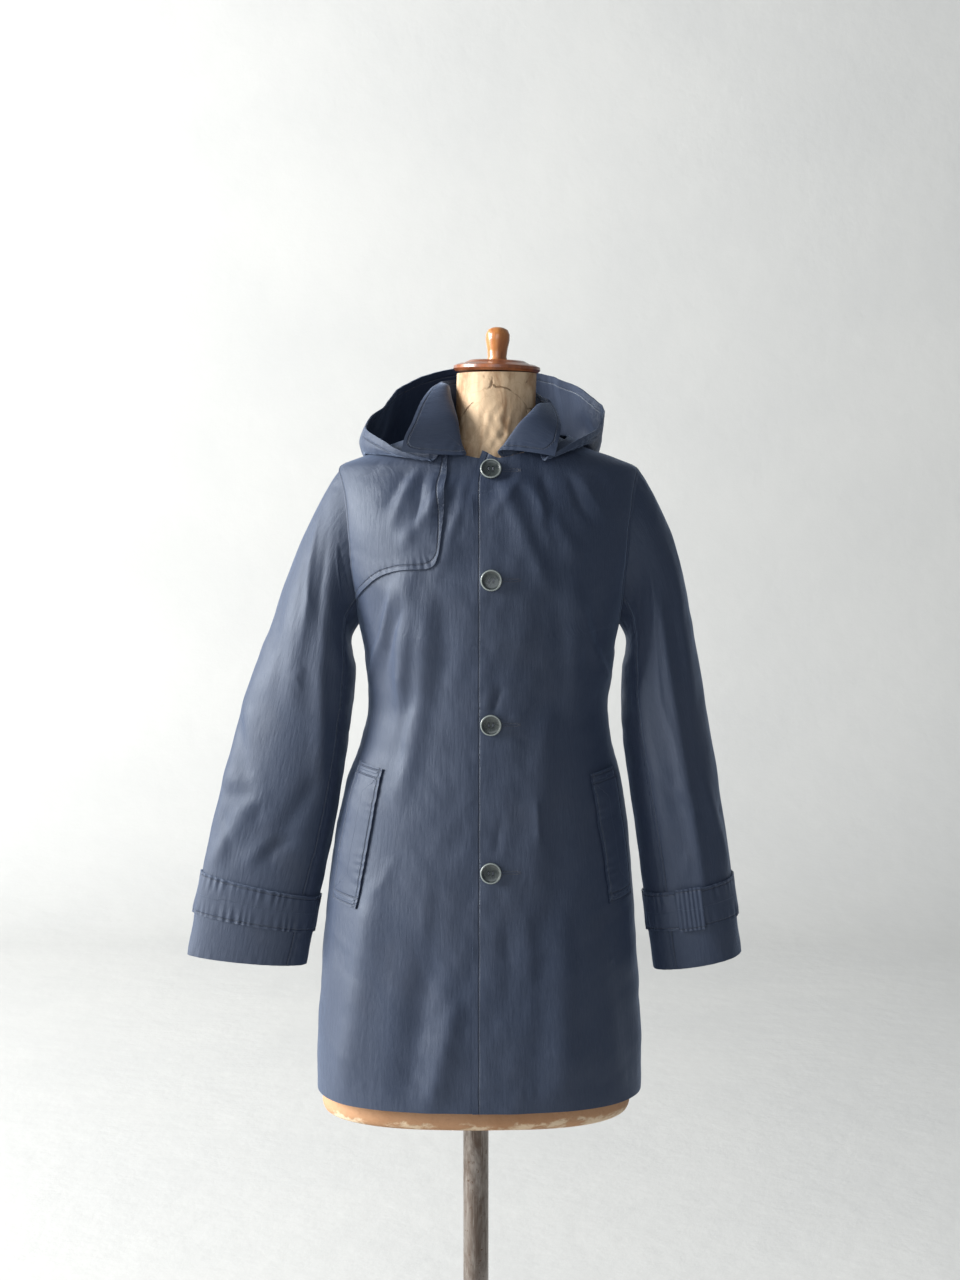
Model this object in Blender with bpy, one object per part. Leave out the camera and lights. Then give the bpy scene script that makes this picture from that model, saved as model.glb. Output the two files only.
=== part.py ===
"""A hooded raincoat, buttoned up on a dress form that stands on a pole and a round base.

Tables and sizes are in millimetres and angles in degrees; meshes are made in metres. +Z is up, the
front faces -Y, and the origin is the centre of the base's underside. "right" and "left" are the
wearer's, so the coat's right side is at -X. An angle round the body is 0 at the centre front, 90 at
the left side, -90 at the right side and 180 at the centre back.
"""

import math

import bmesh
import bpy
import numpy as np

MM = 0.001

# ---- driving sizes ----
HEM_HEIGHT = 690.0
FRONT_NECK_HEIGHT = 1446.0
SIDE_NECK_HEIGHT = 1476.0
BACK_NECK_HEIGHT = 1486.0
NECK_CORNER_RISE = 9.0  # the top corner of the overlapping front turns up by this
NECK_CORNER_REACH = (5.0, 29.0)  # and comes down between these distances from the middle
CLOTH = 1.5  # wall of one layer of cloth
SEAM_GAP = 0.3  # pieces are this far apart along a seam
LAYER_GAP = 1.0  # clear space between two layers that lie on each other
LAYER = CLOTH + LAYER_GAP
OVERLAP_EDGE_X = -4.0  # edge of the left front, which lies over the right one
UNDERLAP_EDGE_X = 34.0
FRONT_FLUSH_X = 80.0  # from here outwards the left front lies no higher than the right one
FRONT_FLUSH_LINE_X = 62.0  # a column of the left front goes down here
ARMHOLE_LOW = 1250.0
ARMHOLE_HIGH = 1436.0
ARMHOLE_HALF_DEPTH = 50.0

BUTTON_RADIUS = 12.5
BUTTON_THICKNESS = 4.4
BUTTON_X = 17.5
BUTTON_HEIGHTS = (1432.0, 1307.0, 1140.0, 969.0)

FORM_BOTTOM = 661.0
FORM_LEAN = 0.0281  # sideways travel of the form's axis for each unit of height
NECK_TOP = 1548.0
CAP_RADIUS = 52.0
CAP_HEIGHT = 13.5
KNOB_HEIGHT = 39.5
POLE_RADIUS = 15.5
BASE_RADIUS = 200.0
BASE_HEIGHT = 22.0


class Table:
    """Rows with named columns. table("column", at) is a smooth value between the rows, which never
    overshoots them; the first column is the one that "at" is measured on."""

    def __init__(self, names, *rows):
        self.columns = dict(zip(names.split(), np.array(rows, float).T))
        self.keys = next(iter(self.columns.values()))
        step = np.diff(self.keys)
        self.slopes = {}
        for name, values in self.columns.items():
            rise = np.diff(values) / step
            before, after = rise[:-1], rise[1:]
            same_way = before * after > 0
            mean = 2 * before * after / np.where(same_way, before + after, 1)
            inner = np.where(same_way, mean, 0)
            self.slopes[name] = np.concatenate([rise[:1], inner, rise[-1:]])

    def __call__(self, name, at):
        at = np.clip(np.asarray(at, float), self.keys[0], self.keys[-1])
        i = np.clip(np.searchsorted(self.keys, at, side="right") - 1, 0, len(self.keys) - 2)
        width = self.keys[i + 1] - self.keys[i]
        t = (at - self.keys[i]) / width
        values, slopes = self.columns[name], self.slopes[name]
        start, end = values[i], values[i + 1]
        return (
            start * (1 + 2 * t) * (1 - t) ** 2
            + end * (3 - 2 * t) * t**2
            + slopes[i] * width * t * (1 - t) ** 2
            - slopes[i + 1] * width * t**2 * (1 - t)
        )


# ---- the coat's body, as level sections round a middle that leans a little ----
BODY = Table(
    "height middle half_width front back square",
    (690, 4, 197, 134, 134, 2.7),
    (740, 4, 197, 132, 132, 2.7),
    (800, 4.5, 194, 128, 129, 2.6),
    (900, 5, 187, 121, 122, 2.5),
    (975, 7, 180, 115, 116, 2.4),
    (1060, 10, 166, 108, 107, 2.3),
    (1110, 13, 151, 105, 101, 2.25),
    (1155, 15, 144, 105, 98, 2.2),
    (1200, 16, 148, 109, 99, 2.2),
    (1240, 16, 154, 114, 102, 2.2),
    (1290, 16, 166, 116, 106, 2.25),
    (1340, 16, 177, 111, 107, 2.3),
    (1385, 16, 182, 98, 101, 2.3),
    (1415, 16, 183, 83, 90, 2.3),
    (1427, 16, 182, 76, 86, 2.3),
    (1436, 16, 177.5, 72, 82, 2.3),
    (1448, 17, 150, 68, 77, 2.3),
    (1460, 19, 113, 66, 73, 2.2),
    (1476, 21, 76, 66, 70, 2.1),
    (1490, 21, 72, 66, 68, 2.1),
)

# Soft folds of the body: a ridge (height > 0) or a trough along a line from one angle and height to
# another, with a half width across it.
BODY_FOLDS = (
    # (start_angle, start_height, end_angle, end_height, height, half_width)
    (-43, 1318, -52, 1165, 6.0, 12),
    (-33, 1290, -47, 1050, 5.0, 13),
    (-12, 1400, -30, 1310, 3.0, 10),
    (-28, 1425, -46, 1345, 3.5, 9),
    (10, 1425, 30, 1300, 3.5, 12),
    (28, 1420, 46, 1330, 3.5, 11),
    (44, 1300, 50, 1150, 4.5, 14),
    (34, 1150, 28, 930, 3.5, 16),
    (-52, 960, -58, 700, 5.5, 15),
    (-26, 900, -34, 700, -4.5, 15),
    (-12, 820, -22, 700, 4.0, 12),
    (42, 900, 36, 700, 4.5, 17),
    (64, 930, 68, 700, -4.0, 15),
    (112, 1010, 118, 700, 5.5, 18),
    (140, 1000, 146, 700, -5.0, 17),
    (166, 1080, 168, 700, 5.5, 20),
    (-166, 1060, -160, 700, 5.0, 20),
    (-138, 1020, -136, 700, -5.0, 18),
    (-112, 1000, -110, 700, 5.5, 17),
    (150, 1240, 124, 1120, 4.5, 16),
    (-150, 1240, -126, 1120, 4.5, 16),
)
MM_PER_DEGREE = 2.3  # how far a degree reaches on the body, for measuring across a fold


def sin(angle):
    return np.sin(np.radians(angle))


def cos(angle):
    return np.cos(np.radians(angle))


def step(start, end, at):
    """0 before start, 1 after end, and smooth between them."""
    t = np.clip((np.asarray(at, float) - start) / (end - start), 0, 1)
    return t * t * (3 - 2 * t)


def points(x, y, z):
    return np.stack(np.broadcast_arrays(x, y, z), axis=-1).astype(float)


def turned_to(angle, reference):
    """The angle, plus or minus whole turns, that is nearest to the reference."""
    return (angle - reference + 180) % 360 - 180 + reference


def fold_heights(folds, angle, height, mm_per_degree, mm_per_height=1.0):
    """How far the folds lift a surface at an angle and a height."""
    total = np.zeros(np.broadcast(angle, height).shape)
    for start_angle, start_height, end_angle, end_height, lift, half_width in folds:
        across = (turned_to(angle, start_angle) - start_angle) * mm_per_degree
        along = (height - start_height) * mm_per_height
        run = (end_angle - start_angle) * mm_per_degree, (end_height - start_height) * mm_per_height
        length = math.hypot(*run)
        share = (across * run[0] + along * run[1]) / length**2
        offset = (across * run[1] - along * run[0]) / length
        ends = step(-0.12, 0.2, share) * (1 - step(0.8, 1.12, share))
        total = total + lift * ends * np.exp(-((offset / half_width) ** 2))
    return total


def body_surface(angle, height):
    """Points of the coat's outside."""
    depth = np.where(cos(angle) > 0, BODY("front", height), BODY("back", height))
    square = BODY("square", height)
    wide = (np.abs(sin(angle)) / BODY("half_width", height)) ** square
    deep = (np.abs(cos(angle)) / depth) ** square
    radius = (wide + deep) ** (-1 / square)
    radius = radius + fold_heights(BODY_FOLDS, angle, height, MM_PER_DEGREE)
    return points(BODY("middle", height) + radius * sin(angle), -radius * cos(angle), height)


def moved_out(surface, u, v, distance, reach=0.05):
    """Points of surface(u, v), moved a distance along its normal, which is measured over a reach."""
    u, v = np.broadcast_arrays(np.asarray(u, float), np.asarray(v, float))
    along_u = surface(u + reach, v) - surface(u - reach, v)
    along_v = surface(u, v + reach) - surface(u, v - reach)
    normal = np.cross(along_u, along_v)
    normal /= np.linalg.norm(normal, axis=-1, keepdims=True)
    return surface(u, v) + normal * np.asarray(distance)[..., None]


def neck_height(angle):
    """Height of the coat's neckline."""
    middle = np.where(cos(angle) > 0, FRONT_NECK_HEIGHT, BACK_NECK_HEIGHT)
    return SIDE_NECK_HEIGHT + (middle - SIDE_NECK_HEIGHT) * cos(angle) ** 2


def armhole_half_depth(height):
    middle, half = (ARMHOLE_LOW + ARMHOLE_HIGH) / 2, (ARMHOLE_HIGH - ARMHOLE_LOW) / 2
    share = np.clip((height - middle) / half, -1, 1)
    return ARMHOLE_HALF_DEPTH * np.sqrt(1 - share**2)


def armhole_half_width(height, depth_column):
    """How far the armhole's edge is from the body's middle at a height."""
    square = BODY("square", height)
    share = armhole_half_depth(height) / BODY(depth_column, height)
    return BODY("half_width", height) * (1 - share**square) ** (1 / square)


def front_edge_angle(height):
    """Angle of the front's outer edge: the side seam, the armhole, then the shoulder seam."""
    return np.degrees(np.arctan2(armhole_half_width(height, "front"), armhole_half_depth(height)))


def back_edge_angle(height):
    return 180 - np.degrees(
        np.arctan2(armhole_half_width(height, "back"), armhole_half_depth(height))
    )


def angle_at_x(x, height):
    """Angle near the centre front at which the body has this x."""
    return np.degrees(np.arctan2(x - BODY("middle", height), BODY("front", height)))


def seam_shift(height):
    """Half of a seam's gap, as an angle."""
    return np.degrees(SEAM_GAP / 2 / BODY("half_width", height))


# ---- meshes ----
def material(name, colour, roughness, metallic=0.0):
    made = bpy.data.materials.new(name)
    made.use_nodes = True
    shader = made.node_tree.nodes["Principled BSDF"]
    shader.inputs["Base Color"].default_value = (*colour, 1)
    shader.inputs["Roughness"].default_value = roughness
    shader.inputs["Metallic"].default_value = metallic
    made.diffuse_color = (*colour, 1)
    return made


def add_object(name, mesh_points, faces, finish):
    mesh = bpy.data.meshes.new(name)
    mesh.from_pydata((np.asarray(mesh_points) * MM).tolist(), [], faces)
    mesh.materials.append(finish)
    shape = bmesh.new()
    shape.from_mesh(mesh)
    bmesh.ops.recalc_face_normals(shape, faces=shape.faces)
    shape.to_mesh(mesh)
    shape.free()
    mesh.shade_smooth()
    mesh.set_sharp_from_angle(angle=math.radians(40))
    made = bpy.data.objects.new(name, mesh)
    bpy.context.scene.collection.objects.link(made)
    return made


def add_wall(name, outer, inner, finish, closed=False):
    """A sheet of cloth: two grids of points, joined along their edges. A closed sheet is a tube."""
    rows, columns = outer.shape[:2]
    last = columns if closed else columns - 1

    def at(side, i, j):
        return side * rows * columns + i * columns + j % columns

    faces = []
    for side in (0, 1):
        for i in range(rows - 1):
            for j in range(last):
                corners = ((i, j), (i, j + 1), (i + 1, j + 1), (i + 1, j))
                faces.append([at(side, *c) for c in corners])
    edges = [((i, j), (i, j + 1)) for i in (0, rows - 1) for j in range(last)]
    if not closed:
        edges += [((i, j), (i + 1, j)) for j in (0, last) for i in range(rows - 1)]
    faces += [[at(0, *a), at(0, *b), at(1, *b), at(1, *a)] for a, b in edges]
    both = np.concatenate([outer.reshape(-1, 3), inner.reshape(-1, 3)])
    return add_object(name, both, faces, finish)


def add_loft(name, rings, finish):
    """A closed solid through rings of points, with its ends filled."""
    count, around = rings.shape[:2]
    faces = [list(range(around)), list(range((count - 1) * around, count * around))]
    for i in range(count - 1):
        for j in range(around):
            right = (j + 1) % around
            low, high = i * around, (i + 1) * around
            faces.append([low + j, low + right, high + right, high + j])
    return add_object(name, rings.reshape(-1, 3), faces, finish)


def add_turned(name, profile, segments, finish):
    """A turned solid from (radius, height) pairs, bottom to top, about its own Z axis."""
    angle = np.arange(segments) * 360 / segments
    radius, height = np.array(profile, float).T[:, :, None]
    return add_loft(name, points(radius * cos(angle), radius * sin(angle), height), finish)


# ---- the coat's body panels ----
ROWS_BELOW, ROWS_THROUGH, ROWS_ABOVE = 9, 12, 4  # of the armhole


def row_share(height):
    return (height - HEM_HEIGHT) / (SIDE_NECK_HEIGHT - HEM_HEIGHT)


def row_shares():
    """Shares of the height from hem to neck, with rows at both ends of the armhole."""
    low, high = row_share(ARMHOLE_LOW), row_share(ARMHOLE_HIGH)
    turn = (1 - cos(np.linspace(0, 180, ROWS_THROUGH + 1))) / 2
    below = np.linspace(0, low, ROWS_BELOW + 1)
    through = low + (high - low) * turn
    above = np.linspace(high, 1, ROWS_ABOVE + 1)
    return np.concatenate([below[:-1], through, above[1:]])[:, None]


def panel_heights(top_angle):
    """Heights of a panel's rows, up to the neckline at these angles."""
    return HEM_HEIGHT + (neck_height(top_angle) - HEM_HEIGHT) * row_shares()


def between(start, end, columns):
    across = np.linspace(0, 1, columns)[None, :]
    return start * (1 - across) + end * across


FRONT_NEAR_COLUMNS, FRONT_FAR_COLUMNS, BACK_COLUMNS = 6, 11, 13


def front_angles(edge, line, side):
    """Angles from a front's free edge, through a line down it, to its side edge."""
    near = between(edge, line, FRONT_NEAR_COLUMNS)[:, :-1]
    return np.concatenate([near, between(line, side, FRONT_FAR_COLUMNS)], axis=1)


def front_grid(edge_x, line_x, side):
    """Angles and heights of a front. side is 1 for the left one and -1 for the right one."""
    level = np.array([[FRONT_NECK_HEIGHT]])
    top = angle_at_x(edge_x(level), level), angle_at_x(line_x(level), level), side * 90
    height = panel_heights(front_angles(*top))
    at_edge, at_side = height[:, :1], height[:, -1:]
    at_line = height[:, FRONT_NEAR_COLUMNS - 1, None]
    angle = front_angles(
        angle_at_x(edge_x(at_edge), at_edge),
        angle_at_x(line_x(at_line), at_line),
        side * (front_edge_angle(at_side) - seam_shift(at_side)),
    )
    return angle, height


def overlap_lift(angle, height):
    """How far the left front lies out from the body, to pass over the right front."""
    x = body_surface(angle, height)[..., 0]
    return LAYER * (1 - step(UNDERLAP_EDGE_X + 6, FRONT_FLUSH_X, x))


def overlap_edge_x(height):
    """The left front's free edge, whose top corner is cut back."""
    return OVERLAP_EDGE_X + 10 * step(1420, 1450, height)


def underlap_edge_x(height):
    """The right front's free edge, which lies under the left front."""
    return np.full_like(height, UNDERLAP_EDGE_X)


def flush_line_x(height):
    """A column of the left front, just before it comes down to the right front's level."""
    return np.full_like(height, FRONT_FLUSH_LINE_X)


def storm_flap_line_x(height):
    """Inner edge of the storm flap, which a column of the right front follows to the hem."""
    return STORM_FLAP_INNER_X + 9 * step(1310, 1450, height)


def build_fronts(cloth):
    angle, height = front_grid(underlap_edge_x, storm_flap_line_x, -1)
    outer = body_surface(angle, height)
    add_wall("front_right", outer, moved_out(body_surface, angle, height, -CLOTH), cloth)

    angle, height = front_grid(overlap_edge_x, flush_line_x, 1)
    raised = step(ARMHOLE_HIGH - 20, FRONT_NECK_HEIGHT, height)
    corner = 1 - step(*NECK_CORNER_REACH, body_surface(angle, height)[..., 0])
    height = height + NECK_CORNER_RISE * raised * corner
    lift = overlap_lift(angle, height)
    outer = moved_out(body_surface, angle, height, lift)
    inner = moved_out(body_surface, angle, height, lift - CLOTH)
    add_wall("front_left", outer, inner, cloth)


def build_back(cloth):
    """The two halves of the back, which meet in a seam down the centre."""
    for name, side in {"back_left": 1, "back_right": -1}.items():
        height = panel_heights(between(side * 90, side * 180, BACK_COLUMNS))
        at_side, at_middle = height[:, :1], height[:, -1:]
        side_edge = back_edge_angle(at_side) + seam_shift(at_side)
        middle_edge = 180 - seam_shift(at_middle)
        angle = side * between(side_edge, middle_edge, BACK_COLUMNS)
        outer = body_surface(angle, height)
        add_wall(name, outer, moved_out(body_surface, angle, height, -CLOTH), cloth)


# ---- what lies on the fronts ----
# The storm flap hangs from the right shoulder. Its lower edge runs from the armhole (0) to its inner
# edge (1), where it turns up round a corner.
STORM_FLAP_EDGE = Table(
    "across height",
    (0.0, 1281),
    (0.2, 1297),
    (0.42, 1313),
    (0.62, 1318),
    (0.84, 1319.5),
    (0.93, 1323),
    (0.98, 1331),
    (1.0, 1343),
)
STORM_FLAP_INNER_X = -43.0
STORM_FLAP_COLUMNS = 11  # from the front's column at the flap's inner edge outwards
STORM_FLAP_SHARED_ROWS = 10  # rows below the neckline that the flap shares with the front
STORM_FLAP_OWN_ROWS = 3
STORM_FLAP_INSET = 3.0  # from the armhole, so that the flap clears the sleeve


def build_storm_flap(cloth):
    """The flap's points are the front's, moved out, apart from its lowest rows."""
    angle, height = front_grid(underlap_edge_x, storm_flap_line_x, -1)
    shared = np.s_[-STORM_FLAP_SHARED_ROWS:, -STORM_FLAP_COLUMNS:]
    across = np.linspace(0, 1, STORM_FLAP_COLUMNS)[None, :]
    lowest = STORM_FLAP_EDGE("height", 1 - across)
    share = np.linspace(0, 1, STORM_FLAP_OWN_ROWS + 1)[:-1, None]
    own_height = lowest + (height[shared][:1] - lowest) * share
    line = angle_at_x(storm_flap_line_x(own_height), own_height)
    armhole = seam_shift(own_height) - front_edge_angle(own_height)
    own_angle = line + (armhole - line) * across
    angle = np.concatenate([own_angle, angle[shared]])
    height = np.concatenate([own_height, height[shared]])
    angle[:, -1] += np.degrees(STORM_FLAP_INSET / BODY("half_width", height[:, -1]))
    outer = moved_out(body_surface, angle, height, LAYER)
    inner = moved_out(body_surface, angle, height, LAYER_GAP)
    add_wall("storm_flap", outer, inner, cloth)


# side is 1 for the left pocket; the angles are those of its front and rear edges.
POCKET_WELTS = {
    "right": {"side": -1, "top": 1084, "bottom": 921, "front": (57, 58), "rear": (73, 73)},
    "left": {"side": 1, "top": 1078, "bottom": 925, "front": (58, 62), "rear": (74, 76)},
}
WELT_THICKNESS = 1.8
WELT_REAR_RISE = 5.0


def build_pocket_welts(cloth):
    across = np.linspace(0, 1, 5)[None, :]
    down = np.linspace(0, 1, 10)[:, None]
    for name, welt in POCKET_WELTS.items():
        front = welt["front"][0] + (welt["front"][1] - welt["front"][0]) * down
        rear = welt["rear"][0] + (welt["rear"][1] - welt["rear"][0]) * down
        angle = welt["side"] * (front + (rear - front) * across)
        height = welt["top"] + (welt["bottom"] - welt["top"]) * down + WELT_REAR_RISE * across
        outer = moved_out(body_surface, angle, height, LAYER_GAP + WELT_THICKNESS)
        inner = moved_out(body_surface, angle, height, LAYER_GAP)
        add_wall(f"pocket_welt_{name}", outer, inner, cloth)


def build_buttons(finish):
    rim, dish = BUTTON_THICKNESS, BUTTON_THICKNESS - 1.3
    profile = (
        (5.0, 0.0),
        (BUTTON_RADIUS - 2.0, 0.4),
        (BUTTON_RADIUS, 2.2),
        (BUTTON_RADIUS - 0.5, rim - 0.4),
        (BUTTON_RADIUS - 1.6, rim),
        (BUTTON_RADIUS - 2.8, rim - 0.5),
        (BUTTON_RADIUS - 4.2, dish),
        (1.0, dish - 0.2),
    )
    for number, height in enumerate(BUTTON_HEIGHTS, start=1):
        button = add_turned(f"button_{number}", profile, 18, finish)
        angle = angle_at_x(BUTTON_X, height)
        near = moved_out(body_surface, angle, height, LAYER + 1.2)
        far = moved_out(body_surface, angle, height, LAYER + 11.2)
        facing = far - near
        button.location = near * MM
        button.rotation_euler = (math.atan2(-facing[1], facing[2]), 0, 0)


# ---- sleeves, as rings from the armhole down to the cuff ----
# outer and inner are the ring's far and near ends seen from the front; front and back are its half
# depths, skew moves its foremost point towards the body, and armhole is how much it keeps that shape.
SLEEVE_COLUMNS = "ring outer_x outer_z inner_x inner_z middle_y front back skew armhole"
RIGHT_SLEEVE = Table(
    SLEEVE_COLUMNS,
    (0, -165, 1436, -142, 1250, 0, 50, 50, 0.0, 1.0),
    (1, -181, 1414, -144.5, 1241, 0, 53, 54, 0.0, 0.75),
    (2, -197, 1383, -145, 1229, 0, 56, 57, 0.05, 0.4),
    (3, -214, 1343, -144.5, 1213, 0, 59, 59, 0.1, 0.15),
    (4, -229, 1300, -144.5, 1193, 0, 60, 60, 0.15, 0.0),
    (5, -246, 1252, -146.5, 1168, 0, 58, 59, 0.2, 0.0),
    (6, -263, 1207, -150, 1140, -1, 54, 57, 0.25, 0.0),
    (7, -281, 1155, -154.5, 1105, -3, 50, 53, 0.28, 0.0),
    (8, -296, 1096, -161, 1062, -6, 45, 48, 0.28, 0.0),
    (9, -312, 1035, -171.5, 1000, -9, 40, 43, 0.25, 0.0),
    (10, -325.5, 976, -184, 944, -12, 35, 37, 0.2, 0.0),
    (11, -338, 914, -195, 889, -14, 31, 32, 0.15, 0.0),
    (12, -349, 850, -205, 838, -16, 27, 28, 0.1, 0.0),
)
LEFT_SLEEVE = Table(
    SLEEVE_COLUMNS,
    (0, 197, 1436, 174, 1250, 0, 50, 50, 0.0, 1.0),
    (1, 211.5, 1415, 176, 1241, 0, 54, 54, 0.0, 0.75),
    (2, 225, 1387, 177, 1229, -1, 57, 57, 0.0, 0.4),
    (3, 237, 1354, 177, 1213, -2, 60, 60, -0.02, 0.15),
    (4, 246, 1318, 176, 1194, -3, 61, 62, -0.05, 0.0),
    (5, 254, 1278, 175, 1170, -5, 62, 62, -0.08, 0.0),
    (6, 262, 1234, 175, 1143, -8, 61, 60, -0.1, 0.0),
    (7, 272, 1178, 177, 1112, -11, 59, 58, -0.12, 0.0),
    (8, 283, 1110, 182, 1072, -15, 57, 54, -0.15, 0.0),
    (9, 295, 1036, 191, 1010, -19, 54, 50, -0.18, 0.0),
    (10, 304, 976, 199, 952, -22, 50, 46, -0.2, 0.0),
    (11, 312, 916, 206, 895, -25, 46, 42, -0.2, 0.0),
    (12, 319, 858, 214, 836, -27, 42, 38, -0.2, 0.0),
)
LAST_RING = 12
# (start_angle, start_ring, end_angle, end_ring, height, half_width)
RIGHT_SLEEVE_FOLDS = (
    (40, 3.0, 70, 6.5, 3.5, 11),
    (85, 3.5, 112, 8.0, 3.5, 10),
    (60, 8.5, 30, 10.2, 3.0, 10),
    (110, 8.0, 80, 9.6, -3.0, 10),
    (-60, 3.0, -40, 7.0, 3.0, 12),
    (-100, 5.0, -80, 10.0, 3.0, 12),
    (10, 7.2, 50, 8.6, -2.5, 10),
)
LEFT_SLEEVE_FOLDS = (
    (86, 2.5, 88, 11.0, 4.0, 9),
    (40, 3.0, 60, 7.5, 3.0, 11),
    (130, 5.0, 120, 9.5, 3.0, 11),
    (60, 8.5, 35, 10.2, 2.5, 10),
    (-60, 3.0, -40, 7.0, 3.0, 12),
    (-100, 5.0, -80, 10.0, 3.0, 12),
)
SLEEVE_MM_PER_DEGREE = 1.0
SLEEVE_MM_PER_RING = 55.0
SLEEVE_SEAM = 135.0  # angle of both seams of a sleeve, from its outer side
SLEEVES = {"right": (-1, RIGHT_SLEEVE, RIGHT_SLEEVE_FOLDS), "left": (1, LEFT_SLEEVE, LEFT_SLEEVE_FOLDS)}


ARMHOLE_GAP = 0.5


def armhole_loop(angle, side, depth=0.0):
    """Points of the armhole's edge: 0 is its top, 90 the front, 180 the underarm.

    depth is how far the points lie under the body's outside.
    """
    middle, half = (ARMHOLE_LOW + ARMHOLE_HIGH) / 2, (ARMHOLE_HIGH - ARMHOLE_LOW) / 2
    height = middle + half * cos(angle)
    half_width = np.where(
        sin(angle) > 0,
        armhole_half_width(height, "front"),
        armhole_half_width(height, "back"),
    )
    across = side * half_width
    around = np.degrees(np.arctan2(across, ARMHOLE_HALF_DEPTH * sin(angle)))
    return moved_out(body_surface, around, height, -depth)


def sleeve_surface(which):
    """The outside of a sleeve, as a function of the angle round it and the ring along it."""
    side, table, folds = SLEEVES[which]
    top, underarm = armhole_loop(0, side), armhole_loop(180, side)
    armhole_middle = (top + underarm) / 2

    def surface(angle, ring):
        angle, ring = np.broadcast_arrays(np.asarray(angle, float), np.asarray(ring, float))
        outer = points(table("outer_x", ring), table("middle_y", ring), table("outer_z", ring))
        inner = points(table("inner_x", ring), table("middle_y", ring), table("inner_z", ring))
        middle, half = (outer + inner) / 2, (outer - inner) / 2
        depth = np.where(sin(angle) > 0, table("front", ring), table("back", ring))
        lift = fold_heights(folds, angle, ring, SLEEVE_MM_PER_DEGREE, SLEEVE_MM_PER_RING)
        along = cos(angle) - table("skew", ring) * sin(angle) ** 2
        swell = 1 + (lift / 55)[..., None]
        rim = half * along[..., None] * swell
        rim[..., 1] -= (depth + lift) * sin(angle)
        keep = table("armhole", ring)[..., None]
        start = armhole_loop(angle, side) - armhole_middle
        gap = points(side * ARMHOLE_GAP, 0, 0)
        return middle + gap + keep * start + (1 - keep) * rim

    return surface


def sleeve_wall(name, which, angle, ring, out, thickness, finish, closed=False):
    """A piece of a sleeve. out is the height of its outside above the sleeve's."""
    surface = sleeve_surface(which)
    side = SLEEVES[which][0]
    outer = moved_out(surface, angle, ring, side * np.asarray(out))
    inner = moved_out(surface, angle, ring, side * (np.asarray(out) - thickness))
    if ring[0, 0] == 0:
        # The first ring's wall is cut like the armhole's edge, so that the two lie side by side.
        edge = armhole_loop(angle[:1], side, CLOTH)[..., 0]
        inner[:1, :, 0] = side * np.maximum(side * inner[:1, :, 0], side * edge + ARMHOLE_GAP)
    return add_wall(name, outer, inner, finish, closed)


TOP_SLEEVE_COLUMNS, UNDER_SLEEVE_COLUMNS = 19, 7  # as far apart as the rows through the armhole
SLEEVE_SEAM_SHIFT = 0.2  # half of the gap along a sleeve's seam, as an angle
STRAP_RINGS = (10.4, 11.2)  # the cuff strap's upper and lower edges
STRAP_THICKNESS = 1.4
# The left strap runs through a keeper between these columns of the top sleeve.
KEEPER_COLUMNS = (15, 18)
KEEPER_RINGS = (10.37, 11.23)
KEEPER_GAP = 0.6


def build_sleeves(cloth):
    strap = np.linspace(*STRAP_RINGS, 3)
    rings = np.linspace(0, 4, 8)[:-1], np.linspace(4, strap[0], 9)[:-1], strap, [LAST_RING]
    ring = np.concatenate(rings)[:, None]
    seam, shift = SLEEVE_SEAM, SLEEVE_SEAM_SHIFT
    top = between(-seam + shift, seam - shift, TOP_SLEEVE_COLUMNS)
    under = between(seam + shift, 360 - seam - shift, UNDER_SLEEVE_COLUMNS)
    around = np.concatenate([top, under[:, 1:-1]], axis=1)
    for which in SLEEVES:
        sleeve_wall(f"top_sleeve_{which}", which, top, ring, 0, CLOTH, cloth)
        sleeve_wall(f"under_sleeve_{which}", which, under, ring, 0, CLOTH, cloth)
        out = LAYER_GAP + STRAP_THICKNESS
        name = f"cuff_strap_{which}"
        sleeve_wall(name, which, around, strap[:, None], out, STRAP_THICKNESS, cloth, closed=True)

    keeper = np.linspace(*KEEPER_RINGS, 4)[:, None]
    out = LAYER_GAP + STRAP_THICKNESS + KEEPER_GAP + CLOTH
    sleeve_wall("cuff_keeper", "left", top[:, slice(*KEEPER_COLUMNS)], keeper, out, CLOTH, cloth)


# ---- collar: stands up behind the neck and falls open at the front ----
# place runs from the right end round the back to the left end. base is the angle on the neckline;
# the roll and the edge are points round the neck's axis.
COLLAR = Table(
    "place base roll_angle roll_radius roll_height edge_angle edge_radius edge_height",
    (0, -26, -31, 86, 1450, -54, 132, 1454),
    (1, -34, -35, 78, 1466, -55, 127, 1469),
    (2, -49, -40, 69, 1491, -57, 114, 1487),
    (3, -65, -58, 58, 1513, -64, 96, 1510),
    (4, -84, -84, 53, 1528, -79, 76, 1528),
    (5, -104, -105, 60, 1523, -102, 66, 1537),
    (6, -130, -130, 66, 1516, -130, 67, 1543),
    (7, -155, -155, 69, 1517, -155, 72, 1548),
    (8, -180, -180, 70, 1518, -180, 75, 1550),
    (9, -205, -205, 68, 1515, -205, 71, 1544),
    (10, -230, -230, 66, 1509, -229, 64, 1531),
    (11, -256, -255, 66, 1503, -253, 61.5, 1522),
    (12, -277, -277, 65, 1501, -275, 66, 1517),
    (13, -302, -301, 62, 1508, -290, 79, 1501),
    (14, -329, -328, 70, 1493, -310, 100, 1475),
    (15, -349, -349, 75, 1456, -319, 107, 1449),
)
NECK_AXIS_X = 21.0
COLLAR_GAP = 0.8  # from the neckline up to the collar's seam


def around_neck(angle, radius, height):
    return points(NECK_AXIS_X + radius * sin(angle), -radius * cos(angle), height)


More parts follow.
